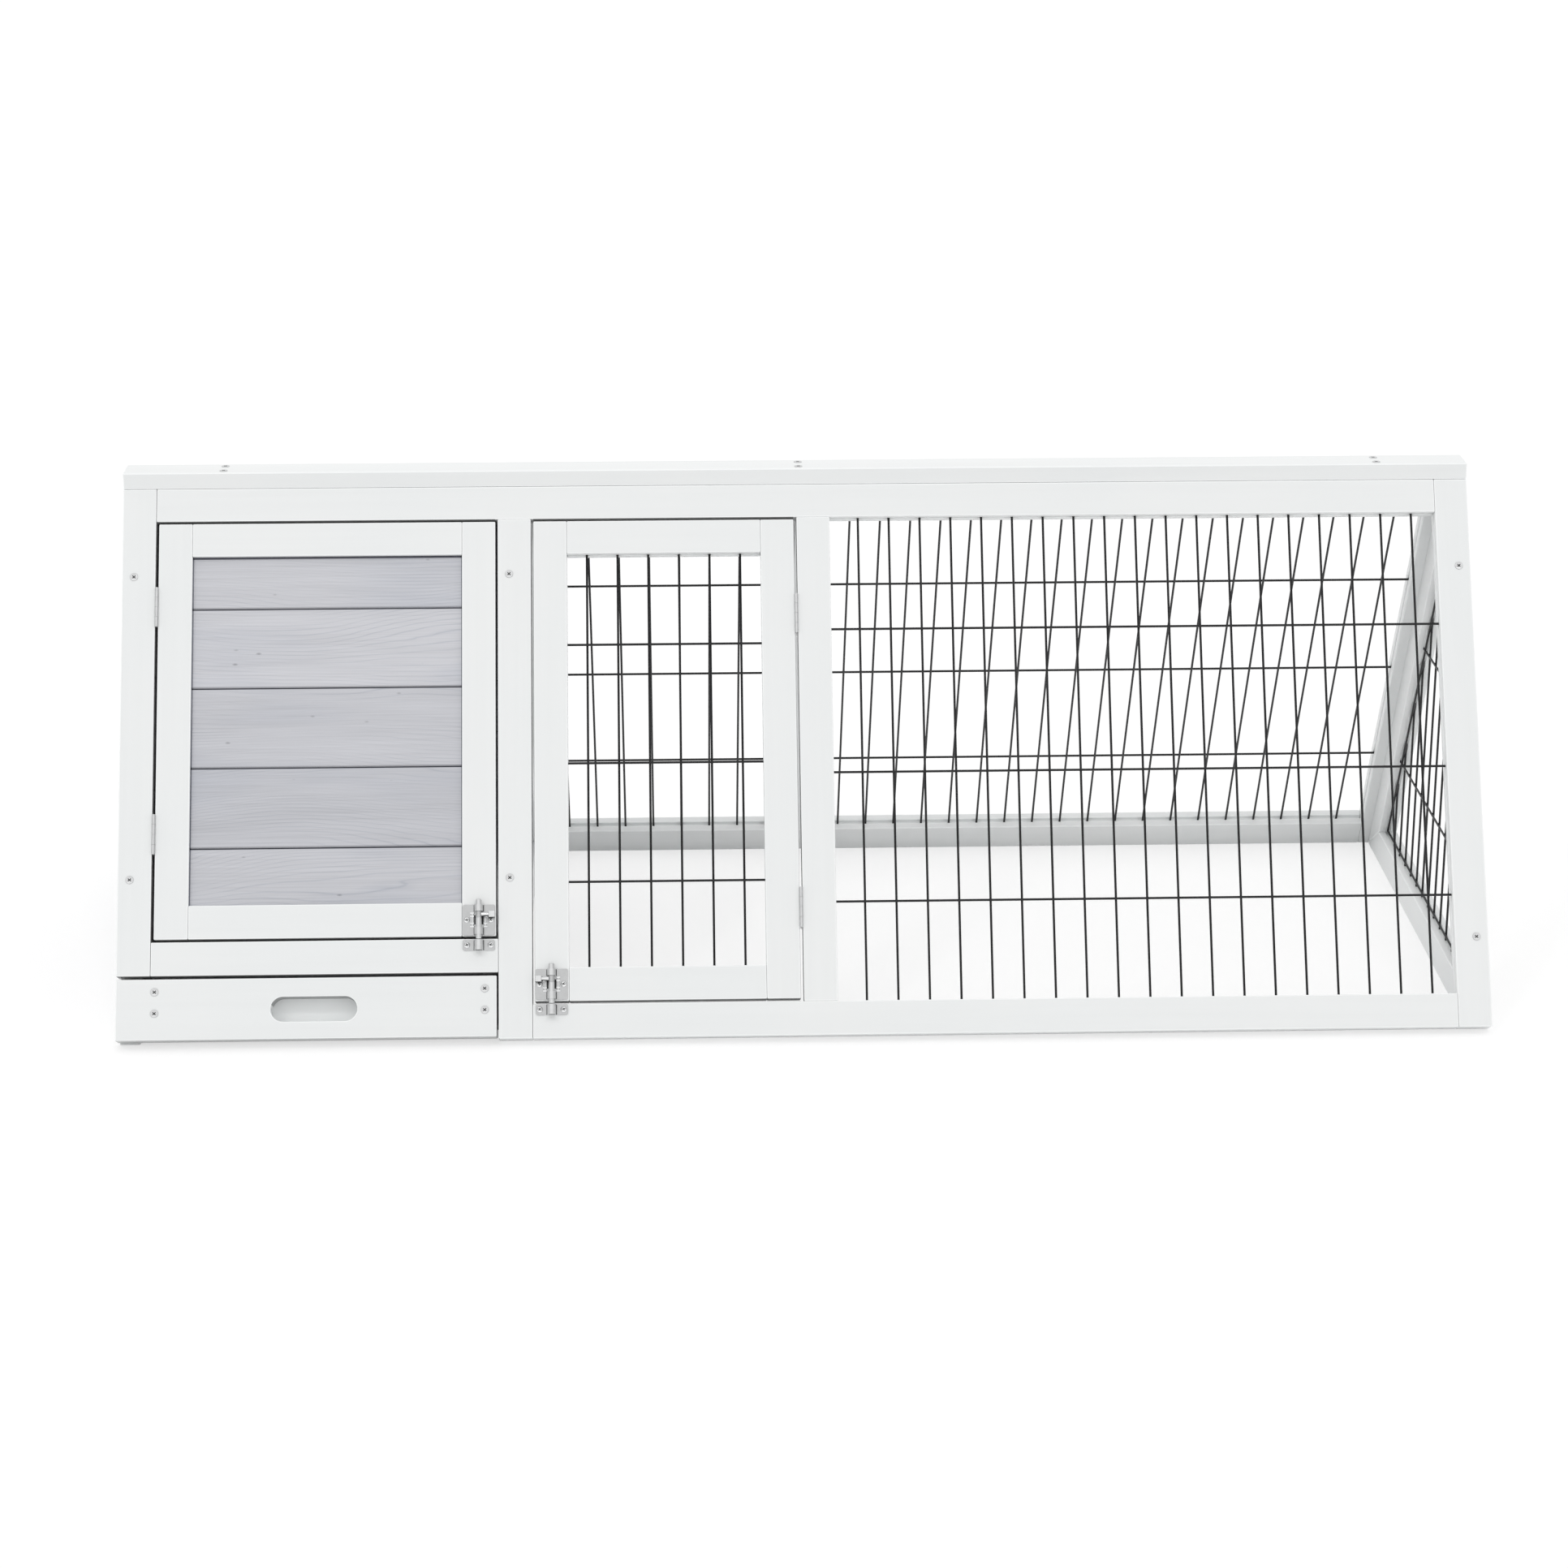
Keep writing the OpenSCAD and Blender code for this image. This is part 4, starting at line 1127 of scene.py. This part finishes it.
class RABBITRUN_OT_hinges(Operator):
    """Plate the hinges and the countersunk screws"""

    bl_idname = "rabbit_run.hinges"
    bl_label = "Fit the Hinges and Screws"

    def execute(self, context):
        for node in ("hut_frame_leaves", "run_frame_leaves", "hut_door_leaves", "run_door_leaves"):
            materials = frame["nodes"][node].data.materials
            materials.clear()
            materials.append(finish_of("zinc_hinge"))
        for node in ("frame_screws", "ridge_screws", "tray_screws"):
            dark_crosses(node, "zinc_flush")
        return {"FINISHED"}


# ---- stage


def stage_floor():
    """Large pale floor that is white to the camera and still takes the object's shadow."""
    bm = bmesh.new()
    bmesh.ops.create_grid(bm, x_segments=1, y_segments=1, size=14.0)
    floor = as_object("floor", bm)
    material = bpy.data.materials.new("pale_floor")
    colour = tuple(setting("stage", "floor_colour"))
    s = Nodes(material, "ShaderNodeOutputMaterial")
    path = s.add("ShaderNodeLightPath").outputs
    seen = s.math("MAXIMUM", path["Is Camera Ray"], path["Is Glossy Ray"])
    clear = s.math("MAXIMUM", seen, path["Is Transmission Ray"])
    glow = s.add("ShaderNodeEmission", {"Color": (1.0, 1.0, 1.0),
                                        "Strength": s.math("MULTIPLY", clear, 0.62)})
    tone = s.mix("MIX", path["Is Camera Ray"], colour, tint(colour, 0.45))
    matt = s.add("ShaderNodeBsdfDiffuse", {"Color": tone})
    s.show(s.add("ShaderNodeAddShader", {0: matt.outputs[0], 1: glow.outputs[0]}))
    floor.data.materials.append(material)


def surrounding_light():
    """White surround: full white where it is seen, a little darker at the sides where it is
    mirrored, and a plain level as light."""
    world = bpy.data.worlds.new("white_surround")
    bpy.context.scene.world = world
    s = Nodes(world, "ShaderNodeOutputWorld")
    path = s.add("ShaderNodeLightPath").outputs
    way = s.add("ShaderNodeTexCoord").outputs["Generated"]
    side = s.math("ABSOLUTE", s.add("ShaderNodeSeparateXYZ", {0: way}).outputs["X"])
    mirrored = s.span(side, 1.0, 0.55, 0.50, 1.0, "SMOOTHSTEP")
    shiny = s.math("MAXIMUM", path["Is Glossy Ray"], path["Is Transmission Ray"])
    light = s.span(shiny, setting("stage", "sky_strength"), mirrored)
    s.show(s.add("ShaderNodeBackground", {"Color": (1.0, 1.0, 1.0),
                                          "Strength": s.span(path["Is Camera Ray"], light, 1.0)}))


def key_lights():
    """Two soft lights from above and in front, the left one a little stronger."""
    for name, way, share in (("key_left", (0.46, 0.42, -0.84), 1.15),
                             ("key_right", (-0.18, 0.44, -0.88), 0.85)):
        lamp = bpy.data.lights.new(name, "SUN")
        lamp.energy = setting("stage", "key_strength") * share
        lamp.angle = math.radians(6)
        linked(name, lamp).rotation_euler = Vector(way).to_track_quat("-Z", "Y").to_euler()


def photo_camera():
    """Camera at the photograph's place, turn and lens, worked out from the timber's edges."""
    camera = bpy.data.cameras.new("camera")
    camera.sensor_fit = "HORIZONTAL"
    camera.sensor_width = 36.0
    camera.lens = setting("stage", "lens")
    camera.clip_start, camera.clip_end = 0.05, 60.0
    eye = linked("camera", camera)
    yaw, pitch, roll = -0.0318439, -0.3337649, -0.0000687
    turn = (Matrix.Rotation(yaw, 4, "Z") @ Matrix.Rotation(pitch, 4, "X")
            @ Matrix.Rotation(roll, 4, "Y") @ Matrix.Rotation(math.pi / 2, 4, "X"))
    eye.matrix_world = Matrix.Translation((-0.1132367, -3.1695475, 1.2486224)) @ turn
    bpy.context.scene.camera = eye


class RABBITRUN_OT_stage(Operator):
    """Set the floor, the soft light and the camera"""

    bl_idname = "rabbit_run.stage"
    bl_label = "Set the Stage"

    def execute(self, context):
        stage_floor()
        surrounding_light()
        key_lights()
        photo_camera()
        context.scene.view_settings.view_transform = "Standard"
        return {"FINISHED"}


class RABBITRUN_PT_panel(Panel):
    """Steps that finish the rabbit run, in order"""

    bl_idname = "RABBITRUN_PT_panel"
    bl_label = "Rabbit Run"
    bl_space_type = "VIEW_3D"
    bl_region_type = "UI"
    bl_category = "Rabbit Run"

    def draw(self, context):
        for group, steps in STEPS.items():
            box = self.layout.box()
            settings = getattr(context.scene, "rabbit_run_" + group)
            for name in settings.__annotations__:
                box.prop(settings, name)
            for step in steps:
                box.operator("rabbit_run." + step)


STEPS = {
    "timber": ("timber",),
    "boards": ("boards",),
    "wire": ("wire",),
    "fittings": ("bolts", "hinges"),
    "stage": ("stage",),
}

CLASSES = (
    *SETTINGS.values(), RABBITRUN_OT_timber, RABBITRUN_OT_boards, RABBITRUN_OT_wire,
    RABBITRUN_OT_bolts, RABBITRUN_OT_hinges, RABBITRUN_OT_stage, RABBITRUN_PT_panel,
)


def register():
    for cls in CLASSES:
        bpy.utils.register_class(cls)
    for name, group in SETTINGS.items():
        setattr(bpy.types.Scene, name, PointerProperty(type=group))


def unregister():
    for name in SETTINGS:
        delattr(bpy.types.Scene, name)
    for cls in reversed(CLASSES):
        bpy.utils.unregister_class(cls)


def main():
    """Runs every step in order."""
    register()
    bpy.ops.rabbit_run.stage()
    bpy.ops.rabbit_run.timber()
    bpy.ops.rabbit_run.boards()
    bpy.ops.rabbit_run.wire()
    bpy.ops.rabbit_run.bolts()
    bpy.ops.rabbit_run.hinges()


if __name__ == "__main__":
    main()
